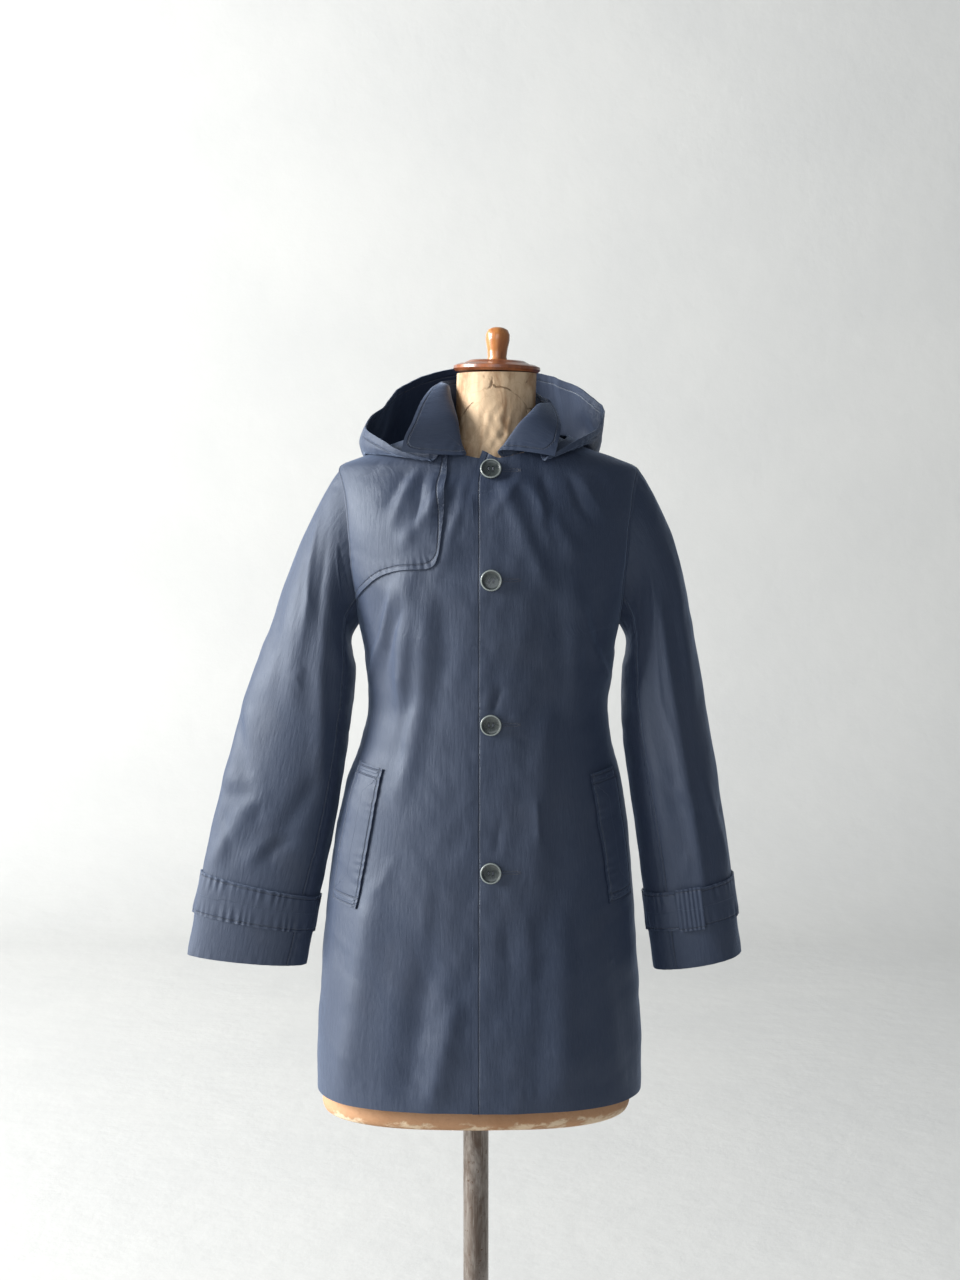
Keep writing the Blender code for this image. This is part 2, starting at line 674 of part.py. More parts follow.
def collar_surface(place, share):
    """Points of the collar, from its seam on the neckline (share 0) to its free edge (share 1)."""
    base_angle = COLLAR("base", place)
    base = body_surface(base_angle, neck_height(base_angle) + COLLAR_GAP)
    roll = around_neck(
        COLLAR("roll_angle", place), COLLAR("roll_radius", place), COLLAR("roll_height", place)
    )
    edge = around_neck(
        COLLAR("edge_angle", place), COLLAR("edge_radius", place), COLLAR("edge_height", place)
    )
    share = np.asarray(share, float)[..., None]
    handle = 2 * roll - (base + edge) / 2  # so that the curve passes through the roll
    return base * (1 - share) ** 2 + 2 * handle * share * (1 - share) + edge * share**2


def build_collar(cloth):
    place = np.linspace(0, 15, 31)[None, :]
    share = np.linspace(0, 1, 7)[:, None]
    outer = collar_surface(place, share)
    inner = moved_out(collar_surface, place, share, CLOTH)
    add_wall("collar", outer, inner, cloth)


# ---- hood: lies open behind the neck, its rim standing up in a ring ----
# At each angle round the neck it lies on the coat down to the height "contact". From there it turns
# round a low point to a side point and rises to its rim, each so far out and up from the contact.
# turn is the angle counted the other way, from the hood's right end to its left end.
HOOD = Table(
    "turn contact low_out low_up side_out side_up rim_out rim_up",
    (43, 1444, 3, -3, 7, -3, 12, -1),
    (52, 1445, 3, -2, 7, -2, 12, 3),
    (60, 1446, 4, -2, 9, 0, 12, 9),
    (66, 1447, 4, -2, 9, 3, 10, 16),
    (75, 1448, 4, -2, 7, 7, 5, 24),
    (90, 1449, 4, -1, 6, 12, -1, 36),
    (110, 1440, 5, -4, 11, 18, -9, 63),
    (130, 1400, 14, -16, 35, 28, 14, 134),
    (155, 1352, 28, -32, 62, 36, 30, 207),
    (180, 1336, 29, -37, 67, 37, 33, 233),
    (205, 1352, 28, -32, 62, 36, 29, 205),
    (230, 1408, 13, -15, 31, 28, 20, 126),
    (250, 1450, 5, -1, 10, 15, 15, 52),
    (267, 1460, 5, 0, 12, 8, 19, 30),
    (283, 1459, 4, 0, 9, 6, 12, 17),
    (300, 1453, 4, -1, 8, 3, 10, 12),
    (310, 1448, 3, -2, 7, 0, 10, 7),
    (318, 1444, 3, -3, 6, -2, 10, 2),
)
HOOD_LIFT = 5.0  # height of the hood's underside above the coat, which clears the storm flap
HOOD_NECK_DROP = 6.0
HOOD_FOLLOWS = 0.4  # share of the way from neck to rim that lies on the coat
HOOD_BOTTOM = 0.7  # share at which it has turned round to its side point
# (start_angle, start_share, end_angle, end_share, height, half_width)
HOOD_FOLDS = (
    (-150, 0.55, -165, 0.9, 5.0, 16),
    (-205, 0.55, -190, 0.88, 5.0, 16),
    (-180, 0.6, -178, 0.8, -4.0, 13),
    (-120, 0.75, -135, 0.92, 4.0, 14),
    (-238, 0.75, -226, 0.92, 4.0, 14),
)
HOOD_MM_PER_DEGREE = 2.8
HOOD_MM_PER_SHARE = 420.0


def bent(start, handle, end, share):
    """A point on the curve from start to end that leaves towards the handle."""
    share = share[..., None]
    return start * (1 - share) ** 2 + 2 * handle * share * (1 - share) + end * share**2


def hood_surface(angle, share):
    """Points of the hood's underside, from the neck (share 0) to the rim (share 1)."""
    angle, share = np.broadcast_arrays(np.asarray(angle, float), np.asarray(share, float))
    turn = -angle
    contact = HOOD("contact", turn)
    neck = neck_height(angle) - HOOD_NECK_DROP
    down = np.clip(share / HOOD_FOLLOWS, 0, 1)
    lying = moved_out(body_surface, angle, neck + (contact - neck) * down, HOOD_LIFT)
    start = moved_out(body_surface, angle, contact, HOOD_LIFT)
    outwards = points(sin(angle), -cos(angle), 0)
    up = points(0, 0, 1)
    low, side, rim = (
        start + outwards * HOOD(f"{name}_out", turn)[..., None] + up * HOOD(f"{name}_up", turn)[..., None]
        for name in ("low", "side", "rim")
    )
    bottom = np.clip((share - HOOD_FOLLOWS) / (HOOD_BOTTOM - HOOD_FOLLOWS), 0, 1)
    rise = np.clip((share - HOOD_BOTTOM) / (1 - HOOD_BOTTOM), 0, 1)
    turned = bent(start, low, side, bottom)
    risen = bent(side, side + (side - low) * 0.55, rim, rise)
    made = np.where((share < HOOD_BOTTOM)[..., None], turned, risen)
    made = np.where((share < HOOD_FOLLOWS)[..., None], lying, made)
    lift = fold_heights(HOOD_FOLDS, angle, share, HOOD_MM_PER_DEGREE, HOOD_MM_PER_SHARE)
    return made + outwards * lift[..., None]


def build_hood(cloth):
    share = np.concatenate([np.linspace(0, HOOD_FOLLOWS, 5)[:-1], np.linspace(HOOD_FOLLOWS, 1, 10)])
    seam = 0.08
    halves = {"hood_right": (-43, -180 + seam), "hood_left": (-180 - seam, -318)}
    for name, (start, end) in halves.items():
        angle = between(start, end, 16)
        outer = hood_surface(angle, share[:, None])
        inner = moved_out(hood_surface, angle, share[:, None], -CLOTH, reach=0.01)
        add_wall(name, outer, inner, cloth)


# ---- dress form ----
FORM = Table(
    "height half_width front back square",
    (661, 180, 106, 108, 2.6),
    (664, 185, 111, 113, 2.6),
    (672, 187.5, 114, 116, 2.6),
    (760, 186, 116, 118, 2.5),
    (900, 175, 108, 110, 2.4),
    (1000, 158, 98, 102, 2.3),
    (1110, 130, 88, 84, 2.2),
    (1160, 126, 90, 82, 2.2),
    (1240, 138, 100, 88, 2.2),
    (1290, 146, 102, 92, 2.2),
    (1340, 150, 98, 94, 2.2),
    (1390, 152, 84, 88, 2.2),
    (1420, 146, 68, 74, 2.2),
    (1440, 120, 60, 64, 2.1),
    (1455, 78, 55, 57, 2.0),
    (1472, 54, 51, 51, 2.0),
    (1495, 47.5, 48, 48, 2.0),
    (1548, 47.5, 47.5, 47.5, 2.0),
)


def form_axis_x(height):
    return FORM_LEAN * (height - FORM_BOTTOM)


def build_form(cover, wood, steel):
    height = np.concatenate(
        [
            (661, 664, 672),
            np.linspace(700, 1400, 9),
            (1420, 1432, 1442, 1450, 1460, 1475, 1495, 1520, 1548),
        ]
    )[:, None]
    angle = np.linspace(0, 360, 29)[None, :-1]
    square = FORM("square", height)
    depth = np.where(cos(angle) > 0, FORM("front", height), FORM("back", height))
    wide = (np.abs(sin(angle)) / FORM("half_width", height)) ** square
    deep = (np.abs(cos(angle)) / depth) ** square
    radius = (wide + deep) ** (-1 / square)
    rings = points(form_axis_x(height) + radius * sin(angle), -radius * cos(angle), height)
    add_loft("form", rings, cover)

    tilt = math.atan(FORM_LEAN)
    cap = add_turned(
        "neck_cap",
        (
            (CAP_RADIUS - 3.5, 0),
            (CAP_RADIUS, 3.0),
            (CAP_RADIUS - 0.5, 6.5),
            (CAP_RADIUS - 6, 9),
            (CAP_RADIUS - 13, 10),
            (CAP_RADIUS - 15, CAP_HEIGHT - 2),
            (CAP_RADIUS - 19, CAP_HEIGHT),
        ),
        32,
        wood,
    )
    cap.location = (form_axis_x(NECK_TOP) * MM, 0, (NECK_TOP + 1.8) * MM)
    cap.rotation_euler = (0, tilt, 0)
    knob = add_turned(
        "knob",
        (
            (12.5, 0),
            (11.2, 4),
            (12.2, 14),
            (14.3, 24),
            (14.2, 31),
            (11.5, 36.5),
            (6.5, KNOB_HEIGHT - 0.6),
            (2.0, KNOB_HEIGHT),
        ),
        20,
        wood,
    )
    knob_z = NECK_TOP + 2.2 + CAP_HEIGHT
    knob.location = (form_axis_x(knob_z) * MM, 0, knob_z * MM)
    knob.rotation_euler = (0, tilt, 0)

    pole_profile = (
        (POLE_RADIUS, BASE_HEIGHT + 0.3),
        (POLE_RADIUS, FORM_BOTTOM - 0.3),
    )
    add_turned("pole", pole_profile, 24, steel)
    base_profile = (
        (BASE_RADIUS - 2, 0),
        (BASE_RADIUS, 2),
        (BASE_RADIUS, 8),
        (BASE_RADIUS - 6, 11),
        (60, 14),
        (38, BASE_HEIGHT - 4),
        (30, BASE_HEIGHT),
    )
    add_turned("base", base_profile, 40, steel)


def main():
    for made in list(bpy.data.objects):
        bpy.data.objects.remove(made)
    cloth = material("coat_cloth", (0.028, 0.038, 0.066), 0.55)
    horn = material("button_horn", (0.012, 0.014, 0.017), 0.35)
    cover = material("form_cover", (0.48, 0.30, 0.16), 0.75)
    wood = material("turned_wood", (0.36, 0.15, 0.055), 0.35)
    steel = material("stand_steel", (0.10, 0.085, 0.075), 0.5, 0.7)
    build_form(cover, wood, steel)
    build_back(cloth)
    build_fronts(cloth)
    build_storm_flap(cloth)
    build_pocket_welts(cloth)
    build_sleeves(cloth)
    build_collar(cloth)
    build_hood(cloth)
    build_buttons(horn)


main()
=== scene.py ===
"""The looks of a hooded raincoat on its dress form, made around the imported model.

Tables, sizes and surfaces are the model's own: in millimetres and degrees, +Z up, the front facing
-Y, "right" and "left" the wearer's. Meshes are made in metres. The cloth is made again as thin
shells on the model's own surfaces, with finer creases, puckered seams and stitches.
"""

import math
from functools import partial

import bmesh
import bpy
import numpy as np
from mathutils import Matrix
from mathutils.kdtree import KDTree


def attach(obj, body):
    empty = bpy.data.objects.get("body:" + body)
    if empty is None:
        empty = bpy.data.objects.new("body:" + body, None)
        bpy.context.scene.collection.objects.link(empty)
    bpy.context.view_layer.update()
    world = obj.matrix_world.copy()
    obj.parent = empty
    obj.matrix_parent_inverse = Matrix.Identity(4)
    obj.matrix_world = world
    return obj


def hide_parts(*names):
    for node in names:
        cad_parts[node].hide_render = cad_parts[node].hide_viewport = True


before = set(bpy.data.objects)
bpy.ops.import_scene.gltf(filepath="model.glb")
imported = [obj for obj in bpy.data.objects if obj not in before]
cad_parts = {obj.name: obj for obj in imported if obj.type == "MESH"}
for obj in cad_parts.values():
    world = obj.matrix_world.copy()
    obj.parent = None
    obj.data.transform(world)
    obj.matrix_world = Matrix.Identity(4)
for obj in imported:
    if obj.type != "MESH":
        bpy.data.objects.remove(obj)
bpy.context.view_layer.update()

MM = 0.001
SHARP_ANGLE = math.radians(40)  # edges bent more than this are shaded as sharp

# ---- driving sizes ----
HEM_HEIGHT = 690.0
FRONT_NECK_HEIGHT = 1446.0
SIDE_NECK_HEIGHT = 1476.0
BACK_NECK_HEIGHT = 1486.0
NECK_CORNER_RISE = 9.0  # the top corner of the overlapping front turns up by this
NECK_CORNER_REACH = (5.0, 29.0)  # and comes down between these distances from the middle
CORNER_CUT = 10.0  # the overlapping front's free edge runs back by this at its top
CORNER_CUT_HEIGHTS = (1420.0, 1450.0)
CLOTH = 1.5  # wall of one layer of cloth
SEAM_GAP = 0.1  # pieces are this far apart along a seam
LAYER_GAP = 1.0  # clear space between two layers that lie on each other
LAYER = CLOTH + LAYER_GAP
OVERLAP_EDGE_X = -4.0  # edge of the left front, which lies over the right one
UNDERLAP_EDGE_X = 34.0
STORM_FLAP_INNER_X = -43.0
STORM_FLAP_LEAN = 9.0  # its inner edge leans to the middle by this, between these heights
STORM_FLAP_LEAN_HEIGHTS = (1310.0, 1450.0)
FRONT_FLUSH_X = 80.0  # from here outwards the left front lies no higher than the right one
FRONT_FLUSH_LINE_X = 62.0  # a column of the left front goes down here
ARMHOLE_LOW = 1250.0
ARMHOLE_HIGH = 1436.0
ARMHOLE_HALF_DEPTH = 50.0
ARMHOLE_MIDDLE = (ARMHOLE_LOW + ARMHOLE_HIGH) / 2
ARMHOLE_HALF_HEIGHT = (ARMHOLE_HIGH - ARMHOLE_LOW) / 2

BUTTON_RADIUS = 12.5
BUTTON_THICKNESS = 4.4
BUTTON_X = 17.5
BUTTON_HEIGHTS = (1432.0, 1307.0, 1140.0, 969.0)

FORM_BOTTOM = 661.0
FORM_LEAN = 0.0281  # sideways travel of the form's axis for each unit of height
NECK_TOP = 1548.0
CAP_RADIUS = 52.0
CAP_HEIGHT = 13.5
KNOB_HEIGHT = 39.5
POLE_RADIUS = 15.5
BASE_RADIUS = 200.0
BASE_HEIGHT = 22.0


class Table:
    """Rows with named columns. table("column", at) is a smooth value between the rows, which never
    overshoots them; the first column is the one that "at" is measured on."""

    def __init__(self, names, *rows):
        self.columns = dict(zip(names.split(), np.array(rows, float).T))
        self.keys = next(iter(self.columns.values()))
        step = np.diff(self.keys)
        self.slopes = {}
        for name, values in self.columns.items():
            rise = np.diff(values) / step
            before, after = rise[:-1], rise[1:]
            same_way = before * after > 0
            mean = 2 * before * after / np.where(same_way, before + after, 1)
            inner = np.where(same_way, mean, 0)
            self.slopes[name] = np.concatenate([rise[:1], inner, rise[-1:]])

    def __call__(self, name, at):
        at = np.clip(np.asarray(at, float), self.keys[0], self.keys[-1])
        i = np.clip(np.searchsorted(self.keys, at, side="right") - 1, 0, len(self.keys) - 2)
        width = self.keys[i + 1] - self.keys[i]
        t = (at - self.keys[i]) / width
        values, slopes = self.columns[name], self.slopes[name]
        start, end = values[i], values[i + 1]
        return (
            start * (1 + 2 * t) * (1 - t) ** 2
            + end * (3 - 2 * t) * t**2
            + slopes[i] * width * t * (1 - t) ** 2
            - slopes[i + 1] * width * t**2 * (1 - t)
        )


# ---- the coat's body, as level sections round a middle that leans a little ----
BODY = Table(
    "height middle half_width front back square",
    (690, 4, 197, 134, 134, 2.7),
    (740, 4, 197, 132, 132, 2.7),
    (800, 4.5, 194, 128, 129, 2.6),
    (900, 5, 187, 121, 122, 2.5),
    (975, 7, 180, 115, 116, 2.4),
    (1060, 10, 166, 108, 107, 2.3),
    (1110, 13, 151, 105, 101, 2.25),
    (1155, 15, 144, 105, 98, 2.2),
    (1200, 16, 148, 109, 99, 2.2),
    (1240, 16, 154, 114, 102, 2.2),
    (1290, 16, 166, 116, 106, 2.25),
    (1340, 16, 177, 111, 107, 2.3),
    (1385, 16, 182, 98, 101, 2.3),
    (1415, 16, 183, 83, 90, 2.3),
    (1427, 16, 182, 76, 86, 2.3),
    (1436, 16, 177.5, 72, 82, 2.3),
    (1448, 17, 150, 68, 77, 2.3),
    (1460, 19, 113, 66, 73, 2.2),
    (1476, 21, 76, 66, 70, 2.1),
    (1490, 21, 72, 66, 68, 2.1),
)

# Soft folds of the body: a ridge (height > 0) or a trough along a line from one angle and height to
# another, with a half width across it.
BODY_FOLDS = (
    # (start_angle, start_height, end_angle, end_height, height, half_width)
    (-43, 1318, -52, 1165, 6.0, 12),
    (-33, 1290, -47, 1050, 5.0, 13),
    (-12, 1400, -30, 1310, 3.0, 10),
    (-28, 1425, -46, 1345, 3.5, 9),
    (10, 1425, 30, 1300, 3.5, 12),
    (28, 1420, 46, 1330, 3.5, 11),
    (44, 1300, 50, 1150, 4.5, 14),
    (34, 1150, 28, 930, 3.5, 16),
    (-52, 960, -58, 700, 5.5, 15),
    (-26, 900, -34, 700, -4.5, 15),
    (-12, 820, -22, 700, 4.0, 12),
    (42, 900, 36, 700, 4.5, 17),
    (64, 930, 68, 700, -4.0, 15),
    (112, 1010, 118, 700, 5.5, 18),
    (140, 1000, 146, 700, -5.0, 17),
    (166, 1080, 168, 700, 5.5, 20),
    (-166, 1060, -160, 700, 5.0, 20),
    (-138, 1020, -136, 700, -5.0, 18),
    (-112, 1000, -110, 700, 5.5, 17),
    (150, 1240, 124, 1120, 4.5, 16),
    (-150, 1240, -126, 1120, 4.5, 16),
)
MM_PER_DEGREE = 2.3  # how far a degree reaches on the body, for measuring across a fold
BODY_SWELLS = ((0.45, 5, 60), (0.16, 6, 24))  # (height, seed, size) of small swells all over

# Creases of the body: (lift, half_width, (angle, height), (angle, height), ...)
BODY_CREASES = (
    # on the storm flap, in a fan from under the collar
    (2.6, 6, (-50, 1442), (-51, 1386), (-52, 1358)),
    (-2.6, 6, (-48, 1438), (-43, 1392), (-40, 1348)),
    (1.8, 6, (-43, 1436), (-35, 1392), (-34, 1344)),
    (-2.4, 7, (-56, 1442), (-56, 1406), (-58, 1376)),
    (2.2, 5, (-64, 1444), (-68, 1426), (-71, 1412)),
    (-2.0, 5, (-66, 1442), (-70, 1414)),
    (1.5, 5, (-69, 1440), (-74, 1426)),
    # between the flap and the front edge
    (2.5, 6, (-20, 1436), (-20, 1386), (-26, 1344)),
    (-2.0, 5, (-14, 1398), (-17, 1370), (-23, 1334)),
    # from the flap's lower edge down to the side seam
    (4.0, 6, (-48, 1318), (-51, 1284), (-60, 1236), (-84, 1166)),
    (-3.0, 7, (-44, 1314), (-46, 1272), (-57, 1224), (-68, 1170)),
    (3.0, 10, (-38, 1312), (-40, 1272), (-44, 1232), (-51, 1178), (-56, 1096)),
    (-2.0, 13, (-27, 1302), (-26, 1226), (-31, 1144)),
    (-1.0, 5, (-11, 1302), (-27, 1310), (-35, 1324)),
    (1.0, 6, (-42, 1168), (-47, 1120), (-45, 1086)),
    # left chest, from under the collar
    (2.0, 7, (32, 1438), (9, 1398), (-5, 1366)),
    (-1.6, 8, (23, 1442), (5, 1414), (-5, 1398)),
    (-3.0, 8, (44, 1440), (36, 1400), (36, 1350)),
    (2.5, 9, (36, 1428), (30, 1370), (38, 1328)),
    (-2.6, 5, (54, 1436), (52, 1392), (57, 1362)),
    (2.2, 6, (57, 1436), (58, 1408), (62, 1366)),
    (-1.5, 6, (63, 1434), (67, 1398)),
    # left side, down to the side seam
    (2.5, 8, (43, 1312), (48, 1272), (58, 1226), (92, 1160)),
    (-2.0, 9, (52, 1300), (62, 1236), (86, 1170)),
    (-2.2, 11, (35, 1300), (40, 1238), (47, 1160)),
    # pulls at the buttons
    (-2.0, 4, (2, 1150), (5, 1168), (9, 1190)),
    (1.2, 5, (-2, 1154), (0, 1178), (2, 1198)),
    (-0.9, 4, (14, 1128), (27, 1118)),
    (0.9, 4, (12, 1146), (27, 1154)),
    (-1.8, 6, (7, 984), (9, 1008), (11, 1038)),
    (1.8, 4, (29, 1058), (30, 1028), (31, 992)),
    # skirt
    (1.4, 9, (-28, 984), (-29, 902), (-26, 820)),
    (-1.4, 10, (13, 938), (16, 856), (13, 776)),
    (1.5, 9, (23, 950), (26, 868), (24, 764)),
    (-1.6, 9, (47, 946), (46, 842), (43, 750)),
    (1.2, 6, (-45, 992), (-48, 958), (-54, 928)),
    # back, which the photo doesn't show
    (2.4, 8, (150, 1440), (158, 1396), (170, 1350)),
    (-2.0, 7, (140, 1436), (143, 1400), (150, 1362)),
    (2.0, 7, (-150, 1442), (-157, 1400), (-166, 1362)),
    (2.6, 9, (118, 1290), (132, 1262), (150, 1240)),
    (-2.2, 8, (120, 1262), (136, 1236), (158, 1222)),
    (2.0, 8, (116, 1210), (130, 1170), (148, 1150)),
    (-1.8, 7, (-118, 1300), (-134, 1268), (-152, 1252)),
    (2.8, 9, (-116, 1272), (-130, 1240), (-150, 1216)),
    (1.8, 7, (-170, 1160), (-150, 1146), (-128, 1152)),
    (-1.6, 6, (172, 1136), (150, 1124), (126, 1134)),
    (2.2, 9, (150, 1010), (146, 940), (150, 850)),
    (-2.0, 9, (-150, 1000), (-154, 920), (-149, 830)),
    # sides, under the sleeves
    (2.4, 8, (96, 1232), (92, 1200), (82, 1160)),
    (-2.0, 7, (-98, 1228), (-94, 1190), (-100, 1150)),
    (2.0, 9, (100, 1120), (104, 1050), (98, 980)),
    (-1.8, 8, (-104, 1110), (-100, 1040), (-106, 970)),
)


def sin(angle):
    return np.sin(np.radians(angle))


def cos(angle):
    return np.cos(np.radians(angle))


def step(start, end, at):
    """0 before start, 1 after end, and smooth between them."""
    t = np.clip((np.asarray(at, float) - start) / (end - start), 0, 1)
    return t * t * (3 - 2 * t)


def new_object(name, data):
    """An object in the scene."""
    made = bpy.data.objects.new(name, data)
    bpy.context.scene.collection.objects.link(made)
    return made


def points(x, y, z):
    return np.stack(np.broadcast_arrays(x, y, z), axis=-1).astype(float)


def turned_to(angle, reference):
    """The angle, plus or minus whole turns, that is nearest to the reference."""
    return (angle - reference + 180) % 360 - 180 + reference


FOLD_FADE, FOLD_PAST_END = 0.2, 0.12  # shares of a fold in which it fades, inside and past its ends
CREASE_FADE_IN, CREASE_FADE_OUT = 0.3, 0.62  # shares of a crease between which it is whole
CREASE_POWER = 1.7  # under 2, so that a crease comes to a sharper top than a fold


def fold_heights(folds, angle, height, mm_per_degree, mm_per_height=1.0):
    """How far the folds lift a surface at an angle and a height."""
    total = np.zeros(np.broadcast(angle, height).shape)
    for start_angle, start_height, end_angle, end_height, lift, half_width in folds:
        across = (turned_to(angle, start_angle) - start_angle) * mm_per_degree
        along = (height - start_height) * mm_per_height
        run = (end_angle - start_angle) * mm_per_degree, (end_height - start_height) * mm_per_height
        length = math.hypot(*run)
        share = (across * run[0] + along * run[1]) / length**2
        offset = (across * run[1] - along * run[0]) / length
        ends = step(-FOLD_PAST_END, FOLD_FADE, share)
        ends = ends * (1 - step(1 - FOLD_FADE, 1 + FOLD_PAST_END, share))
        total = total + lift * ends * np.exp(-((offset / half_width) ** 2))
    return total


def crease_heights(creases, angle, height, mm_per_degree, mm_per_height=1.0):
    """How far the creases lift a surface; each one runs through two or more points."""
    shape = np.broadcast(angle, height).shape
    angle, height = (np.broadcast_to(value, shape) for value in (angle, height))
    total = np.zeros(shape)
    scale = np.array([mm_per_degree, mm_per_height])
    for lift, half_width, *line in creases:
        x = turned_to(angle, line[0][0]) * mm_per_degree
        y = height * mm_per_height
        line = np.array(line, float) * scale
        low, high = line.min(axis=0) - 3 * half_width, line.max(axis=0) + 3 * half_width
        near = (x > low[0]) & (x < high[0]) & (y > low[1]) & (y < high[1])
        x, y = x[near], y[near]
        lengths = np.linalg.norm(np.diff(line, axis=0), axis=1)
        away, share = np.full(x.shape, np.inf), np.zeros(x.shape)
        for i, length in enumerate(lengths):
            run = (line[i + 1] - line[i]) / length
            along = np.clip((x - line[i, 0]) * run[0] + (y - line[i, 1]) * run[1], 0, length)
            distance = np.hypot(x - line[i, 0] - along * run[0], y - line[i, 1] - along * run[1])
            closer = distance < away
            away = np.where(closer, distance, away)
            share = np.where(closer, (lengths[:i].sum() + along) / lengths.sum(), share)
        ends = step(0, CREASE_FADE_IN, share) * (1 - step(CREASE_FADE_OUT, 1, share))
        total[near] += lift * ends * np.exp(-((away / half_width) ** CREASE_POWER))
    return total


def ripples(x, y, seed, size, count=14):
    """Small uneven swells between about -1 and 1, about a size apart."""
    chance = np.random.default_rng(seed)
    total = 0
    for _ in range(count):
        turn, phase, scale = chance.uniform(0, 2 * math.pi, 2).tolist() + [chance.uniform(0.6, 1.6)]
        wave = 2 * math.pi / (size * scale)
        total = total + np.sin(wave * (x * math.cos(turn) + y * math.sin(turn)) + phase)
    return total / math.sqrt(count)


def section_radius(table, angle, height):
    """Radius of a level section: an ellipse, and squarer the higher its exponent."""
    depth = np.where(cos(angle) > 0, table("front", height), table("back", height))
    square = table("square", height)
    wide = (np.abs(sin(angle)) / table("half_width", height)) ** square
    deep = (np.abs(cos(angle)) / depth) ** square
    return (wide + deep) ** (-1 / square)


def body_surface(angle, height):
    """Points of the coat's outside."""
    radius = section_radius(BODY, angle, height)
    radius = radius + fold_heights(BODY_FOLDS, angle, height, MM_PER_DEGREE)
    radius = radius + crease_heights(BODY_CREASES, angle, height, MM_PER_DEGREE)
    # Laid out so that the back's swells differ from the front's.
    around, up = 170 * sin(angle) + 0.3 * height, height + 80 * cos(angle)
    for swell, seed, size in BODY_SWELLS:
        radius = radius + swell * ripples(around, up, seed, size)
    return points(BODY("middle", height) + radius * sin(angle), -radius * cos(angle), height)


def moved_out(surface, u, v, distance, reach=0.05):
    """Points of surface(u, v), moved out along its normal, which is measured over a reach."""
    u, v = np.asarray(u, float), np.asarray(v, float)
    along_u = surface(u + reach, v) - surface(u - reach, v)
    along_v = surface(u, v + reach) - surface(u, v - reach)
    normal = np.cross(along_u, along_v)
    normal /= np.linalg.norm(normal, axis=-1, keepdims=True)
    return surface(u, v) + normal * np.asarray(distance)[..., None]


def neck_height(angle):
    """Height of the coat's neckline."""
    middle = np.where(cos(angle) > 0, FRONT_NECK_HEIGHT, BACK_NECK_HEIGHT)
    return SIDE_NECK_HEIGHT + (middle - SIDE_NECK_HEIGHT) * cos(angle) ** 2


def armhole_half_depth(height):
    share = np.clip((height - ARMHOLE_MIDDLE) / ARMHOLE_HALF_HEIGHT, -1, 1)
    return ARMHOLE_HALF_DEPTH * np.sqrt(1 - share**2)


def armhole_half_width(height, depth_column):
    """How far the armhole's edge is from the body's middle at a height."""
    square = BODY("square", height)
    share = armhole_half_depth(height) / BODY(depth_column, height)
    return BODY("half_width", height) * (1 - share**square) ** (1 / square)


def front_edge_angle(height):
    """Angle of the front's outer edge: the side seam, the armhole, then the shoulder seam."""
    return np.degrees(np.arctan2(armhole_half_width(height, "front"), armhole_half_depth(height)))


def back_edge_angle(height):
    return 180 - np.degrees(
        np.arctan2(armhole_half_width(height, "back"), armhole_half_depth(height))
    )


def angle_at_x(x, height):
    """Angle near the centre front at which the body has this x."""
    return np.degrees(np.arctan2(x - BODY("middle", height), BODY("front", height)))


def seam_shift(height):
    """Half of a seam's gap, as an angle."""
    return np.degrees(SEAM_GAP / 2 / BODY("half_width", height))


